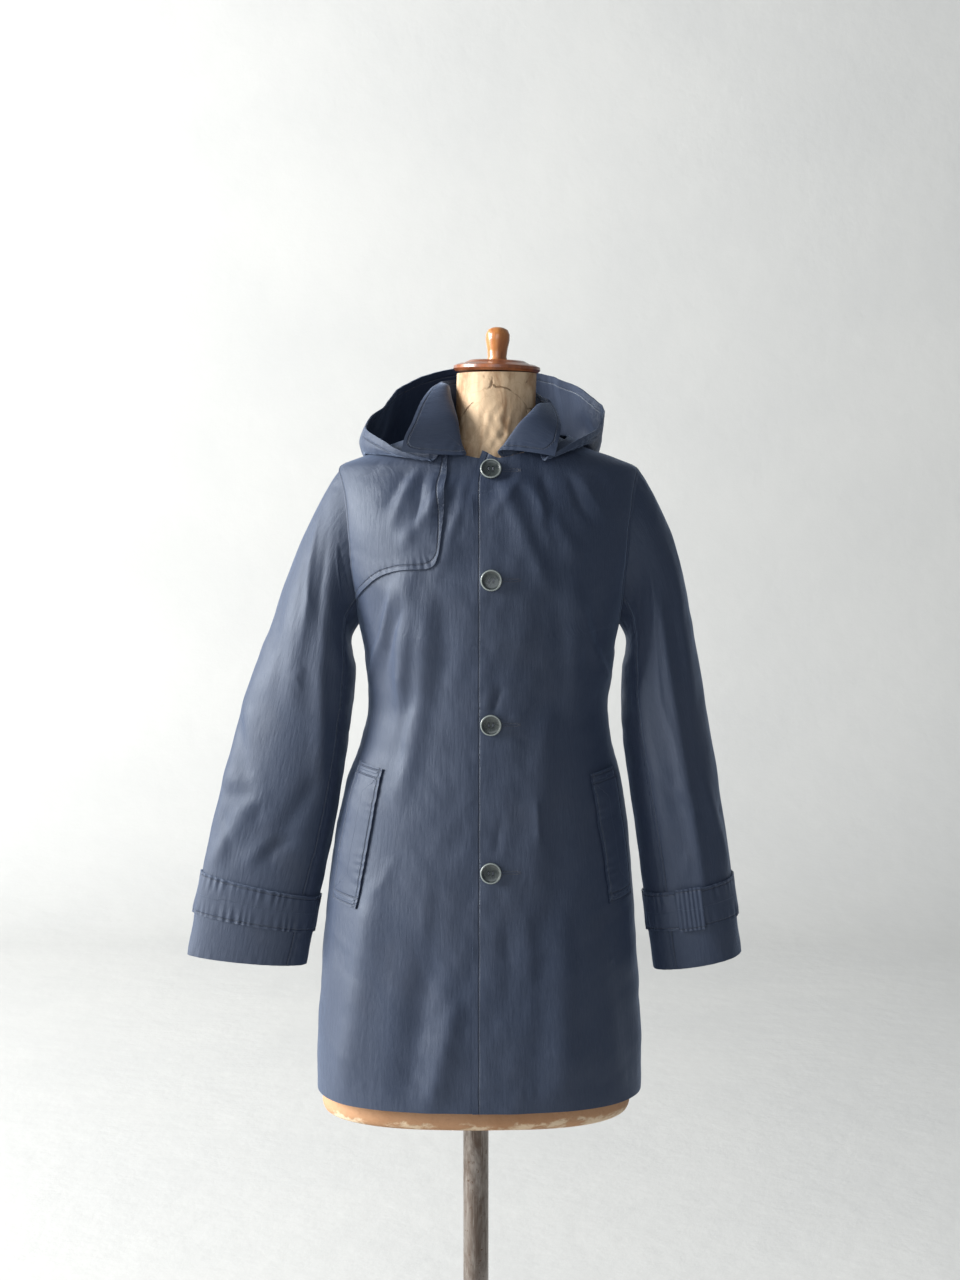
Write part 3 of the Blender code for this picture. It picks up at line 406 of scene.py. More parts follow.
class Finish:
    """A material with its shader's constants, and short calls that make and join its nodes."""

    def __init__(self, name, constants):
        self.material = bpy.data.materials.new(name)
        self.material.use_nodes = True
        self.nodes, self.links = self.material.node_tree.nodes, self.material.node_tree.links
        self.shader = self.nodes["Principled BSDF"]
        for socket, value in constants.items():
            self.feed(self.shader.inputs[socket], value)

    def feed(self, socket, value):
        if isinstance(value, bpy.types.NodeSocket):
            self.links.new(value, socket)
        else:
            is_colour = socket.type == "RGBA" and len(value) == 3
            socket.default_value = (*value, 1) if is_colour else value

    def add(self, kind, inputs, **settings):
        made = self.nodes.new(f"ShaderNode{kind}")
        for name, value in settings.items():
            setattr(made, name, value)
        for name, value in inputs.items():
            self.feed(made.inputs[name], value)
        return made

    def place(self, stretch=(1, 1, 1), source="Object"):
        """Where a point is, in metres, for the textures to be laid out by."""
        where = self.add("TexCoord", {}).outputs[source]
        return self.add("Mapping", {"Vector": where, "Scale": stretch}).outputs["Vector"]

    def noise(self, where, scale, detail=4.0, roughness=0.55, distortion=0.0, kind="FBM"):
        inputs = {"Vector": where, "Scale": scale, "Detail": detail}
        inputs |= {"Roughness": roughness, "Distortion": distortion}
        return self.add("TexNoise", inputs, noise_type=kind).outputs["Fac"]

    def patches(self, where, scale, low=0.3, high=0.7, detail=5.0, roughness=0.6, distortion=0.0):
        """Soft-edged patches of noise, between 0 and 1."""
        return self.spread(self.noise(where, scale, detail, roughness, distortion), low, high)

    def cells(self, where, scale):
        """Distance to the edges of irregular cells."""
        inputs = {"Vector": where, "Scale": scale}
        return self.add("TexVoronoi", inputs, feature="DISTANCE_TO_EDGE").outputs["Distance"]

    def bands(self, where, scale, direction):
        inputs = {"Vector": where, "Scale": scale}
        return self.add("TexWave", inputs, bands_direction=direction).outputs["Fac"]

    def spread(self, value, low, high, to_low=0.0, to_high=1.0):
        """A value between low and high, spread smoothly from to_low to to_high."""
        inputs = {"Value": value, "From Min": low, "From Max": high}
        inputs |= {"To Min": to_low, "To Max": to_high}
        return self.add("MapRange", inputs, interpolation_type="SMOOTHSTEP").outputs["Result"]

    def work(self, operation, first, second):
        made = self.add("Math", {}, operation=operation)
        self.feed(made.inputs[0], first)
        self.feed(made.inputs[1], second)
        return made.outputs[0]

    def mix(self, share, first, second):
        made = self.add("Mix", {}, data_type="RGBA")
        for socket, value in zip([made.inputs[i] for i in (0, 6, 7)], (share, first, second)):
            self.feed(socket, value)
        return made.outputs[2]

    def bump(self, height, distance, under=None, strength=1.0):
        inputs = {"Height": height, "Distance": distance, "Strength": strength}
        if under:
            inputs["Normal"] = under
        return self.add("Bump", inputs).outputs["Normal"]

    def done(self, colour, roughness, normal):
        self.feed(self.shader.inputs["Base Color"], colour)
        self.feed(self.shader.inputs["Roughness"], roughness)
        self.feed(self.shader.inputs["Normal"], normal)
        return self.material


def cloth_finish():
    """Navy raincoat cloth: a close plain weave with slubs, faintly crumpled, with a dull sheen.

    Rows of stitches are pressed into it, by the distance that add_cloth stores on each mesh, and
    the colour is darkened along them as painted shade in their grooves.
    """
    made = Finish(
        "coat_cloth",
        {
            "Sheen Weight": 0.40,
            "Sheen Roughness": 0.40,
            "Sheen Tint": (0.55, 0.70, 1.0),
            "Specular IOR Level": 0.65,
            "Specular Tint": (0.82, 0.90, 1.0),
        },
    )
    where = made.place()
    flat = made.place(source="UV")
    tone = made.patches(where, 5.0, 0.35, 0.68, distortion=0.6)
    fleck = made.spread(made.noise(made.place((1, 0.12, 1), "UV"), 900.0, 2.0), 0.35, 0.7)
    colour = made.mix(tone, (0.0125, 0.0215, 0.050), (0.020, 0.028, 0.055))
    colour = made.mix(made.work("MULTIPLY", fleck, 0.35), colour, (0.032, 0.043, 0.074))
    worn = made.spread(made.noise(where, 11.0, 6.0, 0.65, 0.4), 0.52, 0.78, 0.0, 0.35)
    colour = made.mix(worn, colour, (0.031, 0.036, 0.058))
    row = made.add("Attribute", {}, attribute_name="stitch_row").outputs["Fac"]
    groove_and_painted_shade = made.spread(made.work("ABSOLUTE", row, 0.0), 1.5, 0.1)
    # painted shade: the cloth is darkened along each row of stitches, as if its groove lay in shade
    colour = made.mix(made.work("MULTIPLY", groove_and_painted_shade, 0.55), colour, (0.008, 0.011, 0.022))
    roughness = made.spread(made.noise(where, 8.0, 5.0, 0.6), 0.3, 0.7, 0.50, 0.64)
    crumple = made.noise(where, 30.0, 5.0, 0.55, 0.9, "RIDGED_MULTIFRACTAL")
    normal = made.bump(made.spread(crumple, 0.0, 2.2), 0.0020, strength=0.7)
    slub = made.noise(made.place((1, 0.16, 1), "UV"), 210.0, 4.0, 0.6)
    normal = made.bump(slub, 0.0007, normal, 0.8)
    weave = made.work("MULTIPLY", *(made.bands(flat, 480.0, way) for way in "XY"))
    normal = made.bump(weave, 0.00012, normal, 0.6)
    normal = made.bump(made.work("SUBTRACT", 1.0, groove_and_painted_shade), 0.0006, normal)
    return made.done(colour, roughness, normal)


def thread_finish():
    made = Finish("sewing_thread", {"Sheen Weight": 0.4, "Sheen Roughness": 0.4})
    where = made.place()
    grain = made.noise(where, 900.0, 2.0)
    colour = made.mix(made.spread(grain, 0.3, 0.7), (0.022, 0.028, 0.050), (0.050, 0.058, 0.085))
    return made.done(colour, made.spread(grain, 0.3, 0.7, 0.45, 0.65), made.bump(grain, 0.0002))


def horn_finish():
    """The buttons: dark grey-green polished horn, with a pale ring round the rim."""
    made = Finish("button_horn", {"Coat Weight": 0.5, "Coat Roughness": 0.14, "IOR": 1.54})
    where = made.place()
    cloud = made.patches(where, 160.0, 0.36, 0.70, 4.0, distortion=0.8)
    colour = made.mix(cloud, (0.017, 0.023, 0.024), (0.036, 0.044, 0.041))
    split = made.add("SeparateXYZ", {"Vector": where})
    radius = made.add("VectorMath", {}, operation="LENGTH")
    level = made.add("CombineXYZ", {"X": split.outputs["X"], "Y": split.outputs["Y"]})
    made.feed(radius.inputs[0], level.outputs["Vector"])
    out = radius.outputs["Value"]
    rim = [made.spread(out, *edge) for edge in ((0.0104, 0.0109), (0.0124, 0.0119))]
    rim = made.work("MULTIPLY", *rim)
    colour = made.mix(rim, colour, (0.21, 0.235, 0.225))
    scratch = made.noise(made.place((6, 1, 1)), 500.0, 2.0)
    return made.done(colour, made.spread(cloud, 0, 1, 0.26, 0.38), made.bump(scratch, 0.00008))


def cover_finish():
    """The form: brown paper, scuffed at its lower edge, and cracked cream paper on the neck."""
    made = Finish("form_cover", {"Specular IOR Level": 0.35})
    where = made.place()
    height = made.add("SeparateXYZ", {"Vector": where}).outputs["Z"]
    waver = made.spread(made.noise(where, 26.0, 5.0, 0.65), 0, 1, -0.012, 0.012)
    uneven = made.work("ADD", height, waver)
    neck = made.spread(uneven, 1.395, 1.425)
    scuffs = made.patches(made.place((1, 1, 2.5)), 24.0, 0.44, 0.56, roughness=0.7)
    scuffed = made.work("MULTIPLY", made.spread(uneven, 0.672, 0.668), scuffs)
    cloud = made.patches(where, 9.0, distortion=0.5)
    brown = made.mix(cloud, (0.36, 0.185, 0.090), (0.47, 0.265, 0.145))
    speck = made.spread(made.noise(where, 90.0, 3.0), 0.55, 0.8, 0, 0.4)
    brown = made.mix(speck, brown, (0.26, 0.12, 0.06))
    brown = made.mix(scuffed, brown, (0.66, 0.50, 0.34))
    stain = made.patches(made.place((1, 1, 0.35)), 30.0, 0.42, 0.66, 5.0, 0.65, 0.8)
    cream = made.mix(stain, (0.60, 0.43, 0.275), (0.33, 0.185, 0.095))
    bent = made.add("VectorMath", {}, operation="ADD")
    wobble = made.add("TexNoise", {"Vector": where, "Scale": 26.0, "Detail": 4.0}).outputs["Color"]
    drift = made.add("VectorMath", {"Scale": 0.032}, operation="SCALE")
    made.feed(drift.inputs[0], wobble)
    made.feed(bent.inputs[0], where)
    made.feed(bent.inputs[1], drift.outputs["Vector"])
    edge = made.cells(bent.outputs["Vector"], 15.0)
    broken = made.spread(made.noise(where, 34.0, 3.0), 0.42, 0.56)
    crack = made.work("MULTIPLY", made.spread(edge, 0.020, 0.002), neck)
    crack = made.work("MULTIPLY", crack, broken)
    hairline = made.spread(made.cells(bent.outputs["Vector"], 62.0), 0.05, 0.0, 0, 0.2)
    fine = made.work("MULTIPLY", hairline, neck)
    cream = made.mix(fine, cream, (0.33, 0.20, 0.10))
    colour = made.mix(neck, brown, cream)
    colour = made.mix(made.work("MULTIPLY", crack, 0.8), colour, (0.15, 0.080, 0.035))
    grain = made.noise(where, 240.0, 4.0, 0.6)
    normal = made.bump(made.noise(where, 42.0, 5.0, 0.6), 0.0016, strength=0.6)
    normal = made.bump(grain, 0.0003, normal)
    normal = made.bump(made.work("SUBTRACT", 1.0, crack), 0.0008, normal)
    normal = made.bump(made.work("SUBTRACT", 1.0, scuffed), 0.0004, normal)
    return made.done(colour, made.spread(grain, 0.3, 0.7, 0.55, 0.8), normal)


def wood_finish(name, light, dark, ring_scale):
    """Turned and varnished wood, its grain running round and up the piece."""
    made = Finish(name, {"Coat Weight": 0.55, "Coat Roughness": 0.16, "IOR": 1.5})
    where = made.place((1, 1, 0.16))
    grain = made.noise(where, ring_scale, 6.0, 0.62, 0.6)
    colour = made.mix(made.spread(grain, 0.32, 0.68), light, dark)
    pores = made.noise(made.place((1, 1, 0.05)), 620.0, 3.0)
    pore = tuple(0.35 * part for part in dark)
    colour = made.mix(made.spread(pores, 0.56, 0.72, 0, 0.45), colour, pore)
    worn = made.noise(made.place(), 60.0, 4.0, 0.65)
    roughness = made.spread(worn, 0.3, 0.7, 0.26, 0.46)
    normal = made.bump(pores, 0.00016)
    return made.done(colour, roughness, made.bump(worn, 0.0005, normal, 0.5))


def steel_finish():
    """The pole: old drawn steel, stained brown, with long scratches."""
    made = Finish("stand_steel", {"Metallic": 0.75})
    where = made.place()
    stain = made.patches(made.place((1, 1, 0.3)), 34.0, 0.36, 0.68, 6.0, 0.7, 0.4)
    colour = made.mix(stain, (0.30, 0.27, 0.245), (0.115, 0.085, 0.068))
    scratch = made.noise(made.place((1, 1, 0.03)), 760.0, 3.0)
    colour = made.mix(made.spread(scratch, 0.58, 0.72, 0, 0.5), colour, (0.42, 0.39, 0.36))
    spots = made.patches(where, 190.0, 0.58, 0.70, 4.0, 0.7)
    colour = made.mix(spots, colour, (0.10, 0.055, 0.035))
    return made.done(colour, made.spread(stain, 0, 1, 0.34, 0.58), made.bump(scratch, 0.0002))


def iron_finish():
    """The base: painted cast iron, rubbed bare in places."""
    made = Finish("stand_iron", {"Metallic": 0.4})
    where = made.place()
    rubbed = made.patches(where, 16.0, 0.52, 0.66, 6.0, 0.7)
    colour = made.mix(rubbed, (0.040, 0.036, 0.033), (0.12, 0.092, 0.074))
    cast = made.noise(where, 210.0, 5.0, 0.65)
    normal = made.bump(cast, 0.0007, strength=0.7)
    return made.done(colour, made.spread(rubbed, 0, 1, 0.60, 0.42), normal)


def plaster_finish():
    made = Finish("backdrop", {"Specular IOR Level": 0.2})
    where = made.place()
    cloud = made.patches(where, 1.6)
    colour = made.mix(cloud, (0.60, 0.60, 0.59), (0.57, 0.572, 0.566))
    normal = made.bump(made.noise(where, 14.0, 6.0), 0.002)
    return made.done(colour, made.spread(cloud, 0, 1, 0.85, 0.95), normal)


# ---- seams and stitches ----
FAR_AWAY = 1000.0
GROOVE_HALF_WIDTH = 2.2
STITCH_PITCH = 3.4
STITCH_LENGTH = 2.7
STITCH_WIDTH = 0.75
STITCH_DIP, STITCH_FLANK, STITCH_TOP, STITCH_UNDERSIDE = -0.1, 0.12, 0.42, -0.2  # heights
PATH_PITCH = 6.0  # of a seam's points, where distances from it are measured
SEAM_REACHES = 2.2  # gathers are worked out this many of a seam's reaches away from it


def unit(vectors):
    return vectors / np.maximum(np.linalg.norm(vectors, axis=-1, keepdims=True), 1e-9)


def grid_normals(grid, like):
    """Normals of a grid of points, on the side that the vectors "like" point to."""
    normal = unit(np.cross(np.gradient(grid, axis=0), np.gradient(grid, axis=1)))
    return np.where(np.sum(normal * like, -1, keepdims=True) < 0, -normal, normal)


def lengths_along(path):
    return np.concatenate([[0], np.cumsum(np.linalg.norm(np.diff(path, axis=0), axis=1))])


def spaced(path, pitch):
    """A path's points again, evenly spaced and about a pitch apart."""
    along = lengths_along(path)
    at = np.linspace(0, along[-1], max(2, round(along[-1] / pitch) + 1))
    return np.stack([np.interp(at, along, path[:, i]) for i in range(3)], -1)


def beside_edge(grid, edge, inset, first=0, last=None):
    """A path inside one edge of a grid: its "low" or "high" row, or "start" or "end" column."""
    grid = grid if edge in ("low", "high") else grid.swapaxes(0, 1)
    grid = grid[::-1] if edge in ("high", "end") else grid
    grid = grid[:, first:last]
    away = np.cumsum(np.linalg.norm(np.diff(grid, axis=0), axis=-1), axis=0)
    away = np.concatenate([np.zeros((1, grid.shape[1])), away])
    tangent, inwards = unit(np.gradient(grid[0], axis=0)), unit(grid[2] - grid[0])
    slant = np.sqrt(1 - np.clip(np.sum(tangent * inwards, -1), -0.9, 0.9) ** 2)
    path = []
    for column in range(grid.shape[1]):
        at = inset / slant[column]
        path.append([np.interp(at, away[:, column], grid[:, column, i]) for i in range(3)])
    return np.array(path)


def rounded(path, reach):
    """A path with its corners rounded off over a reach to each side."""
    path = np.pad(spaced(path, 1.0), ((reach, reach), (0, 0)), mode="edge")
    window = np.ones(2 * reach + 1) / (2 * reach + 1)
    return np.stack([np.convolve(path[:, i], window, mode="valid") for i in range(3)], -1)


def near_path(spots, path, reach, facing):
    """How far each spot is from a path, how far along the path it lies, and on which side of it."""
    path = spaced(path, PATH_PITCH)
    starts = lengths_along(path)
    away, along, side = np.full(len(spots), FAR_AWAY), np.zeros(len(spots)), np.ones(len(spots))
    for i in range(len(path) - 1):
        run = path[i + 1] - path[i]
        length = np.linalg.norm(run)
        close = np.flatnonzero(np.abs(spots - path[i]).max(axis=1) < reach + length)
        offset = spots[close] - path[i]
        at = np.clip(offset @ run / length, 0, length)
        distance = np.linalg.norm(offset - at[:, None] * run / length, axis=1)
        better = distance < away[close]
        away[close[better]] = distance[better]
        along[close[better]] = starts[i] + at[better]
        across = np.cross(facing[close[better]], run)
        side[close[better]] = np.where(np.sum(across * offset[better], axis=1) < 0, -1, 1)
    return away, along, side


def gathers(along, pitch, seed):
    """An uneven wave along a seam, between about -1 and 1."""
    phase = np.random.default_rng(seed).uniform(0, 2 * math.pi, 3)
    turn = 2 * math.pi * along / pitch
    drift = 1.3 * np.sin(turn / 5.3 + phase[0]) + 0.7 * np.sin(turn / 2.7 + phase[1])
    return np.sin(turn + drift) * (0.62 + 0.38 * np.sin(turn / 7.1 + phase[2]))


def seam(path, gather=0.25, pitch=11.0, reach=7.0, groove=0.25, sewn=True):
    """A seam or a row of stitches on a sheet, with small gathers across it."""
    return dict(path=path, gather=gather, pitch=pitch, reach=reach, groove=groove, sewn=sewn)


def edge_seam(grid, edge, inset, first=0, last=None, **settings):
    """A seam or a row of stitches at one edge of a grid, or a little inside it."""
    return seam(beside_edge(grid, edge, inset, first, last), **settings)


def seam_lift(grid, facing, seams):
    """How far the seams lift a grid's points, and how far each point is from a row of stitches.

    Gathers fade out over a seam's reach, and the seam itself lies in a groove.
    """
    spots, facing = grid.reshape(-1, 3), facing.reshape(-1, 3)
    total, row = np.zeros(len(spots)), np.full(len(spots), FAR_AWAY)
    for number, line in enumerate(seams):
        away, along, side = near_path(spots, line["path"], SEAM_REACHES * line["reach"], facing)
        wave = gathers(along, line["pitch"], number + len(spots))
        total += line["gather"] * wave * np.exp(-((away / line["reach"]) ** 2))
        total -= line["groove"] * np.exp(-((away / GROOVE_HALF_WIDTH) ** 2))
        if line["sewn"]:
            row = np.where(away < np.abs(row), away * side, row)
    return total.reshape(grid.shape[:2]), row.reshape(grid.shape[:2])


def settled(grid, normals, pairs):
    """Stitches moved onto a grid: (start, end, normal), from (start, end) pairs near it."""
    spots, facing = grid.reshape(-1, 3), normals.reshape(-1, 3)
    tree = KDTree(len(spots))
    for i, spot in enumerate(spots):
        tree.insert(spot, i)
    tree.balance()
    made = []
    for start, end in pairs:
        _, i, _ = tree.find((start + end) / 2)
        start, end = (p - facing[i] * np.dot(p - spots[i], facing[i]) for p in (start, end))
        made.append((start, end, facing[i]))
    return made


def add_stitches(name, stitches):
    """One piece that holds these stitches, each a short plump thread that dips in at both ends."""
    made, faces = [], []
    for start, end, normal in stitches:
        side = np.cross(normal, unit(end - start)) * STITCH_WIDTH / 2
        middle, first = (start + end) / 2, len(made)
        made += [spot + normal * STITCH_DIP for spot in (start, end)]
        made += [middle + across + normal * STITCH_FLANK for across in (side, -side)]
        made += [middle + normal * height for height in (STITCH_TOP, STITCH_UNDERSIDE)]
        for a, b in ((0, 2), (2, 1), (1, 3), (3, 0)):
            faces += [(first + a, first + b, first + 4), (first + b, first + a, first + 5)]
    piece = add_piece(name, made, faces, bpy.data.materials["sewing_thread"], [])
    return piece


def sewn_pairs(path):
    """The ends of the stitches in a row along a path."""
    path = spaced(path, STITCH_PITCH)
    return [(a, a + (b - a) * STITCH_LENGTH / STITCH_PITCH) for a, b in zip(path[:-1], path[1:])]


def add_piece(name, mesh_points, faces, finish, nodes):
    """An object that rides on the part and stands for these nodes."""
    mesh = bpy.data.meshes.new(name)
    mesh.from_pydata((np.asarray(mesh_points) * MM).tolist(), [], faces)
    mesh.materials.append(finish)
    shape = bmesh.new()
    shape.from_mesh(mesh)
    bmesh.ops.recalc_face_normals(shape, faces=shape.faces)
    shape.to_mesh(mesh)
    shape.free()
    mesh.shade_smooth()
    mesh.set_sharp_from_angle(angle=SHARP_ANGLE)
    made = new_object(name, mesh)
    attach(made, "root")
    if nodes:
        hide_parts(*nodes)
    return made


def wall_faces(rows, columns, closed):
    """Faces of a wall whose two sides are grids of points; a closed one is a tube."""
    i, j = np.arange(rows - 1)[:, None], np.arange(columns if closed else columns - 1)[None, :]
    right = (j + 1) % columns
    low, high = i * columns, (i + 1) * columns
    one = np.stack([low + j, low + right, high + right, high + j], -1)
    side = rows * columns
    faces = [one.reshape(-1, 4), one.reshape(-1, 4) + side]
    for row in (0, rows - 1):
        a, b = row * columns + j[0], row * columns + right[0]
        faces.append(np.stack([a, b, b + side, a + side], -1))
    if not closed:
        for column in (0, columns - 1):
            a, b = i[:, 0] * columns + column, (i[:, 0] + 1) * columns + column
            faces.append(np.stack([a, b, b + side, a + side], -1))
    return np.concatenate(faces).tolist()


def lay_flat(mesh, outer):
    """UVs in metres on both sides of a wall, for the weave to follow."""
    across = np.linalg.norm(np.diff(outer, axis=1), axis=-1).mean(axis=0)
    up = np.linalg.norm(np.diff(outer, axis=0), axis=-1).mean(axis=1)
    u, v = (np.concatenate([[0], np.cumsum(part)]) * MM for part in (across, up))
    spots = np.stack(np.broadcast_arrays(u[None, :], v[:, None]), -1).reshape(-1, 2)
    loops = np.empty(len(mesh.loops), int)
    mesh.loops.foreach_get("vertex_index", loops)
    layer = mesh.uv_layers.new(name="cloth")
    layer.data.foreach_set("uv", spots[loops % len(spots)].ravel())


def add_cloth(node, outer, inner, finish, closed=False, seams=(), extra=(), both_sides=False):
    """A sheet of cloth between two grids of points, which stands for a node of the model.

    extra holds more stitches, as pairs of points. both_sides is for a sheet whose back shows too.
    """
    rows, columns = outer.shape[:2]
    facing = unit(outer - inner)
    shift, stitch_row = seam_lift(outer, facing, seams)
    outer, inner = (grid + shift[..., None] * facing for grid in (outer, inner))
    both = np.concatenate([outer.reshape(-1, 3), inner.reshape(-1, 3)])
    made = add_piece(f"{node}_cloth", both, wall_faces(rows, columns, closed), finish, [node])
    lay_flat(made.data, outer)
    rows_of_stitches = made.data.attributes.new("stitch_row", "FLOAT", "POINT")
    rows_of_stitches.data.foreach_set("value", np.tile(stitch_row.ravel(), 2))
    pairs = [pair for line in seams if line["sewn"] for pair in sewn_pairs(line["path"])]
    pairs += extra
    if pairs:
        stitches = settled(outer, grid_normals(outer, facing), pairs)
        if both_sides:
            stitches += settled(inner, grid_normals(inner, -facing), pairs)
        add_stitches(f"{node}_stitches", stitches)


def add_wall(node, surface, u, v, out, finish, seams_of, thickness=CLOTH, reach=0.05, **settings):
    """A sheet of cloth on a surface. out is the height of its outside above the surface, and
    seams_of gives the seams on the outside's grid of points."""
    outer = moved_out(surface, u, v, out, reach)
    inner = moved_out(surface, u, v, out - thickness, reach)
    add_cloth(node, outer, inner, finish, seams=seams_of(outer), **settings)


def add_loft(name, rings, finish, nodes):
    """A closed solid through rings of points, with its ends filled."""
    count, around = rings.shape[:2]
    faces = [list(range(around)), list(range((count - 1) * around, count * around))]
    for i in range(count - 1):
        for j in range(around):
            right = (j + 1) % around
            low, high = i * around, (i + 1) * around
            faces.append([low + j, low + right, high + right, high + j])
    return add_piece(name, rings.reshape(-1, 3), faces, finish, nodes)


def add_turned(name, profile, segments, finish, nodes):
    """A turned solid from (radius, height) pairs, bottom to top, about its own Z axis."""
    angle = np.arange(segments) * 360 / segments
    radius, height = np.array(profile, float).T[:, :, None]
    rings = points(radius * cos(angle), radius * sin(angle), height)
    return add_loft(name, rings, finish, nodes)


# ---- the coat's body panels ----
ROWS_BELOW, ROWS_THROUGH, ROWS_ABOVE = 168, 70, 14  # of the armhole


def row_share(height):
    return (height - HEM_HEIGHT) / (SIDE_NECK_HEIGHT - HEM_HEIGHT)


def row_shares():
    """Shares of the height from hem to neck, with rows at both ends of the armhole."""
    low, high = row_share(ARMHOLE_LOW), row_share(ARMHOLE_HIGH)
    turn = (1 - cos(np.linspace(0, 180, ROWS_THROUGH + 1))) / 2
    below = np.linspace(0, low, ROWS_BELOW + 1)
    through = low + (high - low) * turn
    above = np.linspace(high, 1, ROWS_ABOVE + 1)
    return np.concatenate([below[:-1], through, above[1:]])[:, None]


def panel_heights(top_angle):
    """Heights of a panel's rows, up to the neckline at these angles."""
    return HEM_HEIGHT + (neck_height(top_angle) - HEM_HEIGHT) * row_shares()


def between(start, end, columns):
    across = np.linspace(0, 1, columns)[None, :]
    return start * (1 - across) + end * across


FRONT_NEAR_COLUMNS, FRONT_FAR_COLUMNS, BACK_COLUMNS = 20, 72, 76


def front_angles(edge, line, side):
    """Angles from a front's free edge, through a line down it, to its side edge."""
    near = between(edge, line, FRONT_NEAR_COLUMNS)[:, :-1]
    return np.concatenate([near, between(line, side, FRONT_FAR_COLUMNS)], axis=1)


def front_grid(edge_x, line_x, side):
    """Angles and heights of a front. side is 1 for the left one and -1 for the right one."""
    level = np.array([[FRONT_NECK_HEIGHT]])
    top = angle_at_x(edge_x(level), level), angle_at_x(line_x(level), level), side * 90
    height = panel_heights(front_angles(*top))
    at_edge, at_side = height[:, :1], height[:, -1:]
    at_line = height[:, FRONT_NEAR_COLUMNS - 1, None]
    angle = front_angles(
        angle_at_x(edge_x(at_edge), at_edge),
        angle_at_x(line_x(at_line), at_line),
        side * (front_edge_angle(at_side) - seam_shift(at_side)),
    )
    return angle, height


def overlap_lift(angle, height):
    """How far the left front lies out from the body, to pass over the right front."""
    x = body_surface(angle, height)[..., 0]
    return LAYER * (1 - step(UNDERLAP_EDGE_X + 6, FRONT_FLUSH_X, x))


def overlap_edge_x(height):
    """The left front's free edge, whose top corner is cut back."""
    return OVERLAP_EDGE_X + CORNER_CUT * step(*CORNER_CUT_HEIGHTS, height)


def underlap_edge_x(height):
    """The right front's free edge, which lies under the left front."""
    return np.full_like(height, UNDERLAP_EDGE_X)


def flush_line_x(height):
    """A column of the left front, just before it comes down to the right front's level."""
    return np.full_like(height, FRONT_FLUSH_LINE_X)


def storm_flap_line_x(height):
    """Inner edge of the storm flap, which a column of the right front follows to the hem."""
    return STORM_FLAP_INNER_X + STORM_FLAP_LEAN * step(*STORM_FLAP_LEAN_HEIGHTS, height)


HEM_DEPTH = 26.0
EDGE_STITCH_INSET = 5.5  # of the stitches beside the armhole, shoulder and centre back seams


def edge_seams(grid, edge):
    """The seams that every body panel has: side seam, armhole, shoulder seam and hem."""
    low, high = ROWS_BELOW, ROWS_BELOW + ROWS_THROUGH
    return [
        edge_seam(grid, edge, 0, 0, low, gather=0.35, pitch=15, groove=0.7, sewn=False),
        edge_seam(grid, edge, 0, low, high, gather=0.1, pitch=12, groove=0, sewn=False),
        edge_seam(grid, edge, EDGE_STITCH_INSET, low, high, pitch=12, groove=0.3),
        edge_seam(grid, edge, 0, high, gather=0.2, groove=0.5, sewn=False),
        edge_seam(grid, edge, EDGE_STITCH_INSET, high, gather=0.2, groove=0.3),
        edge_seam(grid, "low", HEM_DEPTH, gather=0.3, pitch=17, groove=0.15, sewn=False),
    ]


FRONT_STITCH_INSET = 8.0
BUTTONHOLE_LENGTH = 32.0
BUTTONHOLE_HALF_GAP = 0.5
BUTTONHOLE_STITCH = 1.9
SATIN_PITCH = 0.85  # of the stitches that lie side by side round a buttonhole


def front_stitches(x, low, high):
    """Upright stitches on the left front at each x, from one height to another."""
    x = np.asarray(x, float)
    ends = (moved_out(body_surface, angle_at_x(x, z), z, LAYER) for z in (low, high))
    return list(zip(*ends))


def buttonhole_stitches():
    """Stitches side by side along both edges of each buttonhole, and a bar across its far end."""
    made = []
    along = np.arange(BUTTON_X + 2, BUTTON_X + BUTTONHOLE_LENGTH, SATIN_PITCH)
    bar = BUTTON_X + BUTTONHOLE_LENGTH + SATIN_PITCH * np.arange(4)
    near, far = BUTTONHOLE_HALF_GAP, BUTTONHOLE_HALF_GAP + BUTTONHOLE_STITCH
    for height in BUTTON_HEIGHTS:
        made += front_stitches(along, height + near, height + far)
        made += front_stitches(along, height - far, height - near)
        made += front_stitches(bar, height - far, height + far)
    return made


def make_fronts(cloth):
    """The right front, and over it the left one with its row of stitches and its buttonholes."""

    def left_seams(outer):
        free = edge_seam(
            outer, "start", FRONT_STITCH_INSET, gather=0.35, pitch=9, reach=6, groove=0.3
        )
        return edge_seams(outer, "end") + [free]

    angle, height = front_grid(underlap_edge_x, storm_flap_line_x, -1)
    right_seams = partial(edge_seams, edge="end")
    add_wall("front_right", body_surface, angle, height, 0, cloth, right_seams)

    angle, height = front_grid(overlap_edge_x, flush_line_x, 1)
    raised = step(ARMHOLE_HIGH - 20, FRONT_NECK_HEIGHT, height)
    corner = 1 - step(*NECK_CORNER_REACH, body_surface(angle, height)[..., 0])
    height = height + NECK_CORNER_RISE * raised * corner
    lift, holes = overlap_lift(angle, height), buttonhole_stitches()
    add_wall("front_left", body_surface, angle, height, lift, cloth, left_seams, extra=holes)


def make_back(cloth):
    """The two halves of the back, which meet in a seam down the centre."""

    def back_seams(outer):
        return edge_seams(outer, "start") + [
            edge_seam(outer, "end", 0, gather=0.3, pitch=14, groove=0.7, sewn=False),
            edge_seam(outer, "end", EDGE_STITCH_INSET, pitch=14, groove=0.3),
        ]

    for name, side in {"back_left": 1, "back_right": -1}.items():
        height = panel_heights(between(side * 90, side * 180, BACK_COLUMNS))
        at_side, at_middle = height[:, :1], height[:, -1:]
        side_edge = back_edge_angle(at_side) + seam_shift(at_side)
        middle_edge = 180 - seam_shift(at_middle)
        angle = side * between(side_edge, middle_edge, BACK_COLUMNS)
        add_wall(name, body_surface, angle, height, 0, cloth, back_seams)


